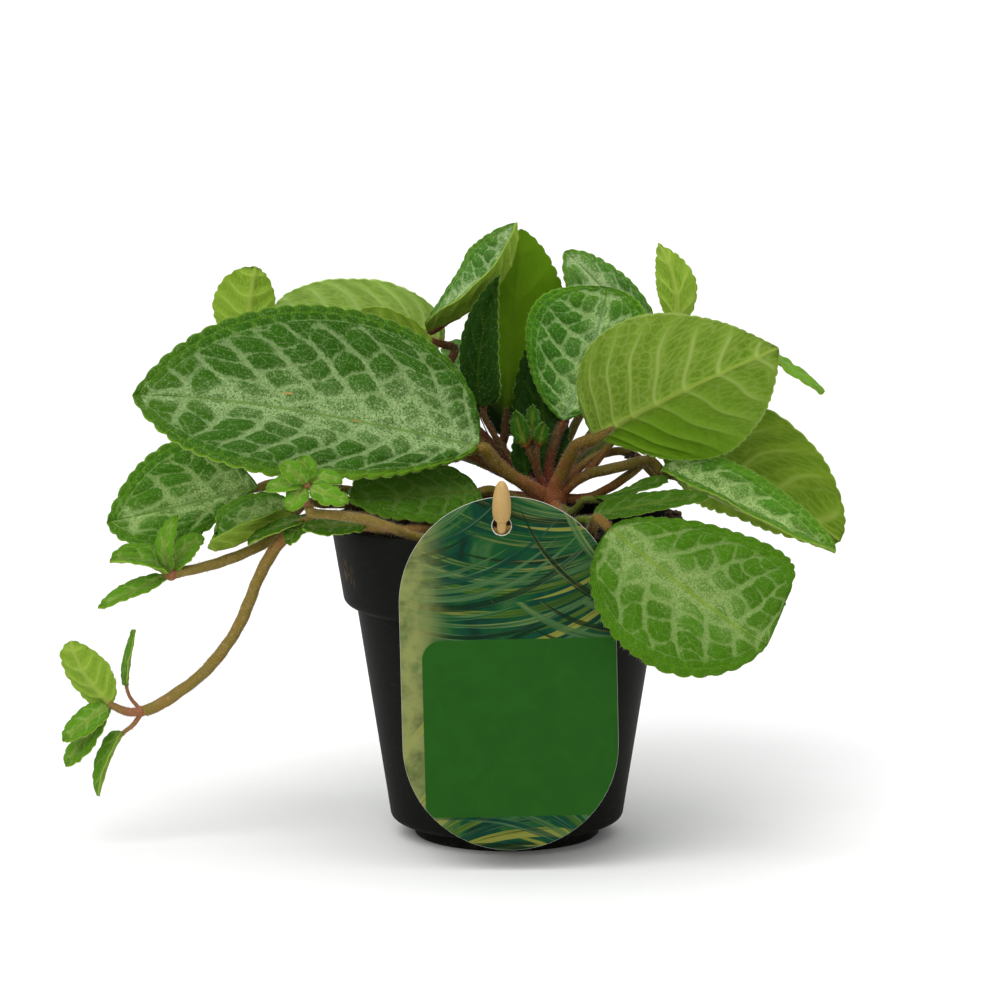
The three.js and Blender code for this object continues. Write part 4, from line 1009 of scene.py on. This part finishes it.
def pot_paint():
    """Black nursery plastic: satin and a little grainy, dusty low down, and scuffed at the collar."""
    p = Paint("pot_plastic", specular_ior_level=0.02)
    grain, dust, cloud = p.noise(900, 2), p.noise(260, 4, 0.65), p.noise(30, 3)
    scuff = p.noise(120, 3, 0.6, where=p.place(Scale=(1, 1, 12)))
    colour = p.mix(cloud, (0.0055, 0.0063, 0.005), (0.0095, 0.0104, 0.0084))
    colour = p.mix(p.step(dust, 0.66, 0.8) * 0.22, colour, (0.09, 0.085, 0.07))
    colour = p.mix(p.step(scuff, 0.64, 0.72) * 0.14, colour, (0.08, 0.085, 0.08))
    ragged = p.noise(520, 4, 0.7, where=p.place(Scale=(1, 1, 0.45)))
    smear = p.step(p.distance(p.place(), SMEAR_PLACE), *SMEAR_SIZE) * p.step(ragged, 0.5, 0.6)
    colour = p.mix(smear * 0.8, colour, (0.13, 0.062, 0.018))
    height = p.parts("SeparateXYZ", p.place())[2]
    foot = p.step(height, 0.012, 0.0) * p.step(dust, 0.45, 0.7)
    colour = p.mix(foot * 0.25, colour, (0.06, 0.05, 0.035))
    return p.set(base_color=colour, roughness=cloud * 0.16 + (grain * 0.12 + 0.38),
                 normal=p.bump(grain, 0.00012, 0.35)).material


def soil_paint():
    p = Paint("soil", roughness=0.95, specular_ior_level=0.2)
    crumb, patches, speck = p.noise(420, 4, 0.7), p.noise(110, 3), p.noise(900, 2)
    colour = p.mix(patches, (0.012, 0.0075, 0.0045), (0.04, 0.024, 0.013))
    colour = p.mix(p.step(speck, 0.66, 0.74) * 0.5, colour, (0.11, 0.08, 0.045))
    return p.set(base_color=colour, normal=p.bump(crumb, 0.0012, 0.8)).material


def wood_paint():
    """Pale turned wood with long fine grain and a few darker pores."""
    p = Paint("peg_wood", specular_ior_level=0.3)
    upright = p.place(Rotation=(PEG_SLOPE - math.pi / 2, 0, 0))
    long_grain = p.value(0, "Mapping", {"Vector": upright, "Scale": (1, 1, 0.09)})
    grain, pores = p.noise(1500, 4, 0.65, long_grain), p.noise(3600, 2, 0.5, long_grain)
    colour = p.mix(grain, (0.42, 0.25, 0.075), (0.62, 0.42, 0.17))
    colour = p.mix(p.step(pores, 0.6, 0.75) * 0.5, colour, (0.2, 0.1, 0.03))
    colour = p.mix(p.noise(150, 2) * 0.3, colour, (0.36, 0.2, 0.06))
    return p.set(base_color=colour, roughness=p.step(grain, 0, 1, 0.55, 0.75),
                 normal=p.bump(grain, 0.0001, 0.5)).material


# The tag's print, in millimetres from the card's middle: fans of long grass blades, each fan as the place
# its blades spring from, how many blades a radian, their length, their sideways bend, and its share of ink.
TAG_FANS = [
    ((52, 60), 15, 125, 0.01, 0.85),
    ((-58, 46), 13, 112, -0.013, 0.8),
    ((-44, -78), 12, 128, 0.008, 0.85),
    ((40, -84), 12, 118, -0.009, 0.8),
    ((66, 24), 10, 84, 0.014, 0.85),
]
TAG_INKS = [
    (0.002, 0.037, 0.02), (0.002, 0.015, 0.005), (0.19, 0.2, 0.03), (0.045, 0.11, 0.035),
    (0.006, 0.06, 0.014), (0.035, 0.085, 0.008),
]
TAG_STREAKS = [(0.24, 0.24, 0.06), (0.1, 0.19, 0.085)]
TAG_EDGE_TINT = (0.22, 0.24, 0.075)
PANEL_LEFT, PANEL_TOP, PANEL_LOW, PANEL_CORNER, PANEL_BLUR = -28.4, 11.7, -47.6, 6.5, 0.15


def hypotenuse(one, other):
    return (one * one + other * other).math("SQRT")


def tag_paint():
    """Laminated card printed with overlapping fans of grass blades, and a plain panel across its middle."""
    p = Paint("tag_front", specular_ior_level=0.06)
    x, z, both = p.map("blade")
    wash = [(0.3, TAG_INKS[1]), (0.45, TAG_INKS[0]), (0.55, TAG_INKS[4]), (0.68, TAG_INKS[3])]
    colour = p.ramp(p.noise(0.05, 3, 0.55, both, 0.8), wash)
    for number, ((at_x, at_z), blades, length, bend, ink) in enumerate(TAG_FANS):
        dx, dz = x - at_x, z - at_z
        far = hypotenuse(dx, dz)
        row = (dz.math("ARCTAN2", dx) + far * bend) * blades + 7.3 * number
        which = floor(row)
        inside = abs(row - which - 0.5)
        chance = p.node("TexWhiteNoise", {"W": which}, noise_dimensions="1D").outputs
        share = far / ((Value(p, chance["Value"]) * 0.65 + 0.35) * length)
        half = (1 - share**2.5) * 0.49
        blade = p.step(half - inside, 0.0, 0.06)
        pick = p.parts("SeparateColor", Value(p, chance["Color"]))[1]
        stops = [(place / len(TAG_INKS), tone) for place, tone in enumerate(TAG_INKS)]
        inks = p.ramp(pick, stops, "CONSTANT")
        streak = p.noise(1.0, 3, 0.6, p.value(0, "CombineXYZ", {0: row * 5, 1: far * 0.03}))
        shade = p.mix(p.step(streak, 0.5, 0.72, 0.0, 0.75), inks, TAG_STREAKS[number % 2])
        shade = p.mix(p.step(streak, 0.47, 0.3, 0.0, 0.7), shade, TAG_INKS[1])
        colour = p.mix(blade * ink, colour, shade)
    # The print fades to a straw tint towards the card's left edge.
    faded = p.step(x, -18.0, -33.0) * p.step(p.noise(0.11, 3, 0.6, both), 0.3, 0.6, 0.35, 0.95)
    colour = p.mix(faded, colour, TAG_EDGE_TINT)
    # The panel runs off the card at its right, and only its upper left corner is round.
    out_x = greatest(PANEL_LEFT + PANEL_CORNER - x, 0.0)
    out_z = greatest(z - (PANEL_TOP - PANEL_CORNER), 0.0)
    panel = p.step(hypotenuse(out_x, out_z), PANEL_CORNER + PANEL_BLUR, PANEL_CORNER - PANEL_BLUR)
    panel = panel * p.step(z, PANEL_LOW - PANEL_BLUR, PANEL_LOW + PANEL_BLUR)
    cloud = p.noise(0.09, 4, 0.6, both, 1.2)
    colour = p.mix(panel, colour, p.mix(cloud, (0.0095, 0.062, 0.0045), (0.0165, 0.09, 0.0085)))
    # The card is frayed white round its hole.
    fray = p.distance(both, (*TAG_HOLE, 0)) + p.noise(2.2, 2, 0.6, both) * -0.65
    colour = p.mix(p.step(fray, TAG_HOLE_RADIUS, TAG_HOLE_RADIUS - 0.12), colour, (0.5, 0.52, 0.45))
    return p.set(base_color=colour, roughness=p.step(cloud, 0, 1, 0.36, 0.46)).material


def card_paint():
    """The tag's cut edge and bare back: pale board with a fine tooth."""
    p = Paint("tag_card", specular_ior_level=0.4, roughness=0.5)
    tooth = p.noise(1400, 3)
    return p.set(base_color=p.mix(tooth, (0.52, 0.53, 0.47), (0.66, 0.66, 0.6)),
                 normal=p.bump(tooth, 0.00006, 0.4)).material


def dry_paint():
    p = Paint("dry_leaf", roughness=0.8, specular_ior_level=0.2)
    crumple = p.noise(500, 4, 0.65)
    return p.set(base_color=p.mix(crumple, (0.012, 0.009, 0.006), (0.075, 0.05, 0.028)),
                 normal=p.bump(crumple, 0.0005, 0.7)).material


# What each kind of upper and lower face looks like.
TOPS = {
    "rich": dict(dark=(0.017, 0.066, 0.002), mint=(0.2, 0.3, 0.105), margin=(0.09, 0.205, 0.012),
                 rib=(0.15, 0.265, 0.06), haze=0.34, fuzz=0.9),
    "front": dict(dark=(0.016, 0.06, 0.0012), mint=(0.22, 0.32, 0.125), margin=(0.1, 0.215, 0.01),
                  rib=(0.15, 0.265, 0.06), haze=0.3, fuzz=1.0, glow=-1.0,
                  specks=((0.62, 0.17), (0.475, 0.0))),
    "broad": dict(dark=(0.024, 0.085, 0.002), mint=(0.25, 0.36, 0.12), margin=(0.11, 0.24, 0.012),
                  rib=(0.18, 0.29, 0.07), haze=0.34, fuzz=0.9),
    "light": dict(dark=(0.03, 0.092, 0.001), mint=(0.175, 0.26, 0.075), margin=(0.07, 0.16, 0.005),
                  rib=(0.18, 0.285, 0.035), haze=0.28, fuzz=0.65),
    "silver": dict(dark=(0.042, 0.13, 0.006), mint=(0.31, 0.43, 0.15), margin=(0.15, 0.28, 0.018),
                   rib=(0.2, 0.31, 0.1), haze=0.5, net=1.1, fuzz=0.85),
    "frost": dict(dark=(0.035, 0.11, 0.01), mint=(0.31, 0.43, 0.19), margin=(0.18, 0.32, 0.03),
                  rib=(0.2, 0.31, 0.1), haze=0.5, fuzz=0.85),
    "glade": dict(dark=(0.022, 0.09, 0.003), mint=(0.27, 0.4, 0.145), margin=(0.14, 0.31, 0.008),
                  rib=(0.2, 0.31, 0.13), haze=0.3, net=0.8, fuzz=0.85),
    # Painted shade: a darkened copy of the upper face, for leaves whose upper face lies in shade deep in
    # the crown.
    "deep": dict(dark=(0.0045, 0.021, 0.0004), mint=(0.018, 0.05, 0.003), margin=(0.02, 0.065, 0.002),
                 rib=(0.025, 0.065, 0.004), haze=0.15, net=0.7, fuzz=0.3),
    "shade": dict(dark=(0.024, 0.072, 0.0015), mint=(0.085, 0.155, 0.026), margin=(0.065, 0.145, 0.006),
                  rib=(0.09, 0.16, 0.014), haze=0.17, net=0.7, fuzz=0.3),
    "young": dict(dark=(0.055, 0.15, 0.005), mint=(0.2, 0.31, 0.06), margin=(0.12, 0.25, 0.01),
                  rib=(0.2, 0.3, 0.04), haze=0.3, net=0.9, fuzz=0.4),
    "plain": dict(dark=(0.09, 0.2, 0.012), mint=(0.17, 0.29, 0.06), margin=(0.13, 0.26, 0.02),
                  rib=(0.16, 0.27, 0.04), haze=0.2, net=0.6, fuzz=0.3),
    "bud": dict(dark=(0.012, 0.05, 0.002), mint=(0.07, 0.14, 0.012), margin=(0.03, 0.09, 0.004),
                rib=(0.12, 0.17, 0.015), haze=0.2, net=0.7, fuzz=0.4, foot=(0.12, 0.03, 0.006)),
}
UNDERS = {
    "pale": dict(base=(0.175, 0.285, 0.026), vein=(0.3, 0.4, 0.095), deep=(0.085, 0.18, 0.004),
                 rib=(0.27, 0.36, 0.055), foot=(0.17, 0.1, 0.035), net=0.9, shaded_side=-1.0,
                 shaded_from=0.12),
    "green": dict(base=(0.09, 0.19, 0.008), vein=(0.14, 0.25, 0.02), deep=(0.045, 0.11, 0.003),
                  rib=(0.17, 0.26, 0.035), foot=(0.16, 0.12, 0.03)),
    # Painted shade: its low colour darkens this underside towards its base.
    "smooth": dict(base=(0.105, 0.225, 0.003), vein=(0.12, 0.24, 0.006), deep=(0.066, 0.155, 0.002),
                   rib=(0.1, 0.2, 0.006), foot=(0.05, 0.06, 0.006), net=0.3, low=(0.004, 0.012, 0.0002)),
    # Painted light, in part: this and the two below are ever lighter copies of one pale underside. Besides
    # its own pale green, they hold painted light shining through the blade, a little here and most in the
    # last.
    "bright": dict(base=(0.21, 0.34, 0.028), vein=(0.31, 0.43, 0.065), deep=(0.1, 0.2, 0.006),
                   rib=(0.27, 0.37, 0.055), foot=(0.22, 0.16, 0.04), net=0.8),
    "paler_lit_through": dict(base=(0.25, 0.39, 0.036), vein=(0.35, 0.48, 0.08), deep=(0.12, 0.24, 0.01),
                  rib=(0.31, 0.42, 0.06), foot=(0.22, 0.16, 0.04), net=0.8),
    "lit": dict(base=(0.42, 0.62, 0.12), vein=(0.52, 0.68, 0.22), deep=(0.2, 0.36, 0.03),
                rib=(0.42, 0.55, 0.13), foot=(0.3, 0.22, 0.06), net=0.8),
    "olive": dict(base=(0.165, 0.28, 0.016), vein=(0.27, 0.37, 0.06), deep=(0.085, 0.175, 0.005),
                  rib=(0.25, 0.34, 0.05), foot=(0.2, 0.14, 0.04), net=0.85),
}


def pot_piece():
    wall_top = COLLAR_LOW - SHOULDER_DROP
    ledge, wall_foot = FOOT_HEIGHT + WALL, FOOT_HEIGHT + CORNER
    profile = [
        (0, 0), (FOOT_RADIUS - 0.6, 0), (FOOT_RADIUS, 0.5), (FOOT_RADIUS + FOOT_DRAFT, FOOT_HEIGHT),
        *arc(WALL_LOW_RADIUS - CORNER, wall_foot, CORNER, -90, -8, 10),
        *between((WALL_LOW_RADIUS, wall_foot), (WALL_TOP_RADIUS, wall_top), 8, 8),
        *arc(COLLAR_LOW_RADIUS - CORNER, COLLAR_LOW, CORNER, -70, -8, 8),
        *between((COLLAR_LOW_RADIUS, COLLAR_LOW), (POT_RADIUS, POT_HEIGHT - LIP), 5, 4),
        *arc(POT_RADIUS - LIP, POT_HEIGHT - LIP, LIP, 0, 90, 6),
        *arc(POT_RADIUS - WALL + LIP / 2, POT_HEIGHT - LIP / 2, LIP / 2, 90, 180, 4),
        (COLLAR_LOW_RADIUS - WALL, COLLAR_LOW), (WALL_TOP_RADIUS - WALL, wall_top),
        (WALL_LOW_RADIUS - WALL, wall_foot), (WALL_LOW_RADIUS - WALL - LEDGE, ledge),
        (FOOT_RADIUS - WALL, ledge), (FOOT_RADIUS - WALL, FLOOR), (0, FLOOR),
    ]
    made = lathe(profile, 160).piece("pot_shell", [pot_paint()], "pot_plastic", "pot", sharp=35)
    # The drain holes are cut once, and the mesh is kept as cut.
    drill = Shape()
    hole = lathe([(0, -2), (DRAIN_RADIUS, -2), (DRAIN_RADIUS, 2 * FLOOR), (0, 2 * FLOOR)], 32)
    for k in range(DRAIN_HOLES):
        turn = 2 * math.pi * (k + 0.5) / DRAIN_HOLES
        drill.copy(hole, (DRAIN_RING * math.cos(turn), DRAIN_RING * math.sin(turn), 0))
    cutter = drill.piece("pot_drill", [], "pot_plastic")
    cut = made.modifiers.new("drains", "BOOLEAN")
    cut.operation, cut.object, cut.solver = "DIFFERENCE", cutter, "EXACT"
    drilled = final_mesh(made)
    made.modifiers.clear()
    made.data = drilled
    bpy.data.objects.remove(cutter)


def soil_height(x, y):
    mound = np.hypot(x - STEM_X / 2, y - STEM_Y) / (POT_RADIUS / 2)
    crumb = np.sin(x * 0.61 + y * 0.23) * np.cos(y * 0.47 - x * 0.19)
    fine = 0.5 * np.sin(x * 1.7 + 2 * np.sin(y * 0.9)) * np.sin(y * 1.9 + 1.3 * np.sin(x * 1.1))
    finer = 0.3 * np.sin(x * 4.1 + 3 * np.sin(y * 1.3)) * np.sin(y * 3.7 - 2 * np.sin(x * 1.7))
    return SOIL_RIM + SOIL_MOUND * np.exp(-(mound**2)) + SOIL_ROUGHNESS * (crumb + fine + finer)


SOIL_SIDES, SOIL_RINGS = 150, 46
CRUMBS, CRUMB_SIZES, FIBRES, FIBRE_REACHES, FIBRE_RADIUS = 900, (0.35, 1.5), 46, (2, 6), 0.22


def soil_piece():
    """The soil with a crumbly top, and crumbs and fibres that lie loose on it."""
    rise = (SOIL_RIM - COLLAR_LOW) / COLLAR_HEIGHT
    rim = COLLAR_LOW_RADIUS + (POT_RADIUS - COLLAR_LOW_RADIUS) * rise - WALL - GAP
    inset, ledge = WALL + GAP, FOOT_HEIGHT + WALL
    turn = np.linspace(0, 2 * np.pi, SOIL_SIDES, endpoint=False)
    below = [
        (FOOT_RADIUS - inset, FLOOR + GAP), (FOOT_RADIUS - inset, ledge + GAP),
        (WALL_LOW_RADIUS - inset - LEDGE, ledge + GAP),
        (WALL_LOW_RADIUS - inset, FOOT_HEIGHT + CORNER + GAP),
        (WALL_TOP_RADIUS - inset, COLLAR_LOW - SHOULDER_DROP), (COLLAR_LOW_RADIUS - inset, COLLAR_LOW),
        (rim, SOIL_RIM - 1.2),
    ]
    rings = [np.stack([r * np.cos(turn), r * np.sin(turn), np.full(SOIL_SIDES, z)], 1) for r, z in below]
    for r in np.linspace(rim - 0.3, 0.6, SOIL_RINGS):
        x, y = r * np.cos(turn), r * np.sin(turn)
        rings.append(np.stack([x, y, soil_height(x, y)], 1))
    places = np.concatenate([*rings, [(0, 0, FLOOR + GAP), (0, 0, float(soil_height(0.0, 0.0)))]])
    shape = Shape().add(places, ring_faces(len(rings), SOIL_SIDES))
    rng = np.random.default_rng(SOIL_SEED)
    ball = np.array([(1, 0, 0), (-1, 0, 0), (0, 1, 0), (0, -1, 0), (0, 0, 1), (0, 0, -1)], float)
    around = [(0, 2), (2, 1), (1, 3), (3, 0)]
    faces = np.array([(a, b, 4) for a, b in around] + [(b, a, 5) for a, b in around])
    for _ in range(CRUMBS):
        r, a = (rim - 1.5) * math.sqrt(rng.random()), rng.uniform(0, 2 * math.pi)
        size = rng.uniform(*CRUMB_SIZES) * np.array([1, rng.uniform(0.6, 1.2), rng.uniform(0.5, 0.9)])
        x, y = r * math.cos(a), r * math.sin(a)
        centre = np.array([x, y, float(soil_height(x, y)) + size[2] * 0.3])
        c, q = math.cos(a * 7), math.sin(a * 7)
        lump = (ball * rng.uniform(0.75, 1.2, (6, 1)) * size) @ np.array([(c, q, 0), (-q, c, 0), (0, 0, 1)])
        shape.add(lump + centre, [faces])
    for k in range(FIBRES):
        r, a = (rim - 6) * math.sqrt(rng.random()), rng.uniform(0, 2 * math.pi)
        way = rng.uniform(0, 2 * math.pi)
        reach = rng.uniform(*FIBRE_REACHES) * np.linspace(-1, 1, 7)
        xs, ys = r * math.cos(a) + reach * math.cos(way), r * math.sin(a) + reach * math.sin(way)
        inside = np.hypot(xs, ys) < rim - 1.5
        if inside.sum() < 4:
            continue
        xs, ys = xs[inside], ys[inside]
        path = np.stack([xs, ys, soil_height(xs, ys) + 0.35 + 0.25 * np.sin(np.arange(len(xs)) * 1.9)], 1)
        tube(shape, path, FIBRE_RADIUS, sides=5, seed=k)
    shape.piece("soil_top", [soil_paint()], "soil", "soil")


def turned(x, y, angle):
    """A place in a plane, turned about the middle."""
    cos, sin = math.cos(angle), math.sin(angle)
    return x * cos - y * sin, x * sin + y * cos


def ring_of(radius, x, z, start, end, steps, closed=False):
    return [(x + radius * math.cos(a), z + radius * math.sin(a))
            for a in np.linspace(start, end, steps, endpoint=not closed)]


def tag_piece():
    """The card: a stadium outline with a round hole, its corners just eased."""
    radius = TAG_WIDTH / 2
    straight = TAG_HEIGHT / 2 - radius
    outline = ring_of(radius, 0, straight, 0, math.pi, 65)
    outline += ring_of(radius, 0, -straight, math.pi, 2 * math.pi, 65)
    curve = bpy.data.curves.new("tag_outline", "CURVE")
    curve.dimensions, curve.fill_mode = "2D", "BOTH"
    curve.extrude = TAG_THICKNESS / 2 - TAG_EASE
    curve.bevel_depth, curve.bevel_resolution, curve.offset = TAG_EASE, 2, -TAG_EASE
    for ring in (outline, ring_of(TAG_HOLE_RADIUS, *TAG_HOLE, 0, -2 * math.pi, 40, closed=True)):
        spline = curve.splines.new("POLY")
        spline.points.add(len(ring) - 1)
        for point, (x, z) in zip(spline.points, ring):
            point.co = (x, z, 0, 1)
        spline.use_cyclic_u = True
    carrier = placed("tag_outline", curve)
    bpy.context.view_layer.update()
    flat = final_mesh(carrier)
    bpy.data.objects.remove(carrier)
    # The curve lies in its own XY plane. It stands up with its face to -Y, then leans.
    card = np.array([vertex.co for vertex in flat.vertices], float)
    x, z = turned(card[:, 0], card[:, 1], TAG_LEAN)
    shape = Shape().add(np.stack([x, -card[:, 2], z], 1) + TAG_MIDDLE, [], blade=card[:, :2])
    for polygon in flat.polygons:
        shape.faces.append((np.array([list(polygon.vertices)]), 0 if polygon.normal[2] > 0.9 else 1))
    bpy.data.meshes.remove(flat)
    shape.piece("tag_print", [tag_paint(), card_paint()], "tag_card", "tag", sharp=30)


# The peg's head: how far up it, as a share of its length, and how wide there, as a share of its radius.
PEG_HEAD = [
    (0.015, 0.7), (0.05, 0.88), (0.1, 0.96), (0.18, 1), (0.28, 1.01), (0.38, 1), (0.5, 0.96), (0.62, 0.89),
    (0.73, 0.8), (0.82, 0.7), (0.9, 0.56), (0.95, 0.42), (0.985, 0.24),
]


def peg_piece():
    neck = np.linspace(PEG_POINT - PEG_REACH + 4, PEG_HEAD_START, 8)
    shape = lathe([
        (0, -PEG_REACH), (PEG_NECK_RADIUS / 3, -PEG_REACH), (PEG_NECK_RADIUS, PEG_POINT - PEG_REACH),
        *[(PEG_NECK_RADIUS, z) for z in neck],
        *[(PEG_HEAD_RADIUS * wide, PEG_HEAD_START + PEG_HEAD_LENGTH * up) for up, wide in PEG_HEAD],
        (0, PEG_HEAD_START + PEG_HEAD_LENGTH),
    ], 36)
    x, y, z = shape.places[0].T
    y, z = turned(y, z, math.pi / 2 - PEG_SLOPE)
    hole_x, hole_z = turned(*TAG_HOLE, TAG_LEAN)
    shape.places[0] = np.stack([x, y, z], 1) + (hole_x, 0, hole_z) + TAG_MIDDLE
    shape.piece("tag_peg_turned", [wood_paint()], "peg_wood", "tag_peg", sharp=50)


# Each dried bit: its place, how far it reaches, and how many scraps it has.
DRY_BITS = [
    ((56, -13, 111.5), 5, 5), ((-12, 4, 119), 4, 3), ((43.5, 16, 128), 3, 3), ((-53, -12, 117), 3, 2),
]


def dry_piece():
    """Withered flower stalks and leaf scraps, curled up among the stalks and on the pot's rim."""
    shape = Shape()
    rng = np.random.default_rng(DRY_SEED)
    for place, reach, count in DRY_BITS:
        for _ in range(count):
            steps = rng.normal(0, reach / 5, (9, 3)) * (1.2, 0.8, 0.6)
            path = smooth_path(np.array(place) + np.cumsum(steps, 0) - steps.sum(0) / 2, 0.5)
            thick, beat = rng.uniform(0.25, 0.7), rng.uniform(0.5, 1.1)
            radii = thick * (1 + 0.35 * np.sin(np.arange(len(path)) * beat))
            tube(shape, path, radii, sides=8, seed=int(rng.integers(1000)), lumps=0.3)
    shape.piece("dry_bits", [dry_paint()], "soil")


def sun(name, place, strength, spread):
    """A far soft light that shines on the part from a place's direction."""
    light = bpy.data.lights.new(name, "SUN")
    light.energy, light.angle = strength, math.radians(spread)
    made = placed(name, light)
    made.location = place
    made.rotation_euler = (-Vector(place)).to_track_quat("-Z", "Y").to_euler()


# Each sun's name, the place it shines from, its strength and how many degrees it spreads over.
SUNS = [
    ("key", (-0.55, -1.05, 1.1), 1.8, 50),
    ("overhead", (0.12, 0.1, 1.2), 1.22, 70),
    ("fill", (1.1, -0.9, 0.5), 0.37, 60),
    ("rear", (-0.35, 1.1, 0.8), 0.47, 60),
]
WORLD_LIGHT, WORLD_BAND = 0.34, 0.1
FLOOR_RADIUS, FLOOR_SIDES = 9, 96

# The camera stands where the photograph was taken from.
CAMERA_PLACE, CAMERA_TILT, CAMERA_CLIP = (-2.35, -1530, 346), math.radians(81.414), (0.1, 20)
CAMERA_LENS, CAMERA_SENSOR = 164.0, 36


def studio():
    """A wide white floor under even soft light, and a white surround that is dimmer overhead."""
    mesh = bpy.data.meshes.new("floor")
    turns = [2 * math.pi * k / FLOOR_SIDES for k in range(FLOOR_SIDES)]
    corners = [(FLOOR_RADIUS * math.cos(a), FLOOR_RADIUS * math.sin(a), 0) for a in turns]
    mesh.from_pydata(corners, [], [tuple(range(FLOOR_SIDES))])
    ground = placed("floor", mesh)
    p = Paint("floor", roughness=0.9, specular_ior_level=0.1)
    mesh.materials.append(p.set(base_color=p.mix(p.noise(2), (0.985,) * 3, (1.0,) * 3)).material)

    world = bpy.data.worlds.new("studio")
    bpy.context.scene.world = world
    world.use_nodes = True
    tree = world.node_tree
    light = tree.nodes["Background"]
    light.inputs["Color"].default_value = (1, 1, 1, 1)
    kinds = ("TexCoord", "SeparateXYZ", "MapRange")
    way, parts, rise = (tree.nodes.new("ShaderNode" + kind) for kind in kinds)
    for end, height, strength in (("Min", 0.0, 1.0), ("Max", WORLD_BAND, WORLD_LIGHT)):
        rise.inputs["From " + end].default_value, rise.inputs["To " + end].default_value = height, strength
    tree.links.new(way.outputs["Generated"], parts.inputs[0])
    tree.links.new(parts.outputs[2], rise.inputs["Value"])
    tree.links.new(rise.outputs[0], light.inputs["Strength"])
    for each in SUNS:
        sun(*each)

    camera = placed("camera", bpy.data.cameras.new("camera"))
    camera.location = [c * MM for c in CAMERA_PLACE]
    camera.rotation_euler = (CAMERA_TILT, 0, 0)
    camera.data.lens, camera.data.sensor_width = CAMERA_LENS, CAMERA_SENSOR
    camera.data.clip_start, camera.data.clip_end = CAMERA_CLIP
    bpy.context.scene.camera = camera
    bpy.context.scene.view_settings.view_transform = "Standard"


tops = {name: leaf_top("leaf_top_" + name, **look) for name, look in TOPS.items()}
unders = {name: leaf_under("leaf_under_" + name, **look) for name, look in UNDERS.items()}
# The stalks' paints, by a leaf's number: olive with a red flush, dark red, green, and orange red.
stalk_materials = [
    stalk_paint("leaf_stalk", (0.11, 0.085, 0.009), (0.15, 0.045, 0.011), (0.26, 0.17, 0.06)),
    stalk_paint("leaf_stalk_red", (0.06, 0.035, 0.006), (0.13, 0.022, 0.009), (0.22, 0.09, 0.05), 0.35),
    stalk_paint("leaf_stalk_green", (0.085, 0.115, 0.01), (0.15, 0.1, 0.014), (0.2, 0.2, 0.06), 0.05),
    stalk_paint("leaf_stalk_flushed", (0.125, 0.083, 0.009), (0.21, 0.066, 0.018), (0.3, 0.18, 0.07), 0.22),
]
runner_material = stalk_paint(
    "runner_stem", (0.19, 0.14, 0.024), (0.25, 0.12, 0.03), (0.38, 0.27, 0.12), red_end=1)
knuckle_material = stalk_paint(
    "plantlet_stalk", (0.22, 0.15, 0.035), (0.27, 0.1, 0.045), (0.37, 0.22, 0.12), red_end=1.5)

pot_piece()
soil_piece()
tag_piece()
peg_piece()
dry_piece()

leaf_hairs = {"left": Needles(), "right": Needles()}
stem_hairs = Needles()

crown = Shape()
stem = lathe([
    (0, STEM_FOOT), (STEM_RADIUS * 0.9, STEM_FOOT + 0.5),
    *[(STEM_RADIUS * (1 + 0.06 * math.sin(z)), z) for z in range(STEM_FOOT + 2, STEM_TOP, 2)],
    (0, STEM_TOP),
], 24)
crown.copy(stem, (STEM_X, STEM_Y, 0))
knuckle(crown, STEM_HEAD, STEM_HEAD_RADIUS)
for seed, leaf in enumerate(LEAVES.values()):
    path, radii = stalk_path(leaf)
    tube(crown, path, radii, seed=seed, paint=leaf.stem)
    hair_stem(stem_hairs, path, radii, seed, STALK_HAIRS)
crown.piece("crown_stalks", stalk_materials, "leaf_stalk", "crown")

for seed, (name, leaf) in enumerate(LEAVES.items()):
    top, under = leaf.look
    shape = Shape()
    blade = blade_shape(shape, leaf, seed)
    slot = "young_leaf" if name.startswith("bud") else "leaf_blade"
    shape.piece(name + "_blade", [tops[top], unders[under]], slot, name)
    hair_blade(leaf_hairs["left" if leaf.mid[0] < STEM_X else "right"], blade, seed)

seed = len(LEAVES)
for name, (thick, points, leaves, plantlet) in RUNNERS.items():
    shape = Shape()
    # The runner grows on into its plantlet's first stalk.
    stalk, _ = PLANTLETS[plantlet]["stalks"][0]
    path = smooth_path([*points, stalk[0]])
    radii = thick * (1 + 0.12 * np.exp(-np.arange(len(path)) / 4))
    tube(shape, path, radii, sides=16, seed=seed, paint=2)
    hair_stem(stem_hairs, path, radii, seed, RUNNER_HAIRS, skip=0.2)
    for leaf in leaves:
        seed += 1
        hair_blade(leaf_hairs["left"], blade_shape(shape, leaf, seed), seed)
    seed += 1
    shape.piece(name + "_fine", [tops["light"], unders["bright"], runner_material], "runner_stem", name)

for name, plantlet in PLANTLETS.items():
    shape = Shape()
    knuckle(shape, plantlet["knuckle"], plantlet["radius"], paint=2)
    for points, thick in plantlet["stalks"]:
        seed += 1
        path = smooth_path(points, 0.8)
        tube(shape, path, thick * np.linspace(1.05, 0.8, len(path)), sides=12, seed=seed, paint=2)
        hair_stem(stem_hairs, path, thick, seed, PLANTLET_HAIRS)
    for leaf in plantlet["leaves"]:
        seed += 1
        hair_blade(leaf_hairs["left"], blade_shape(shape, leaf, seed), seed, YOUNG_HAIRS)
    shape.piece(name + "_fine", [tops["young"], unders["bright"], knuckle_material], "young_leaf", name)

leaf_down = hair_paint("leaf_hair", (0.34, 0.45, 0.22))
stem_down = hair_paint("stem_hair", (0.5, 0.38, 0.28))
for side, needles in leaf_hairs.items():
    needles.shape().piece("leaf_hairs_" + side, [leaf_down], "leaf_blade")
stem_hairs.shape().piece("stem_hairs", [stem_down], "leaf_stalk")

studio()
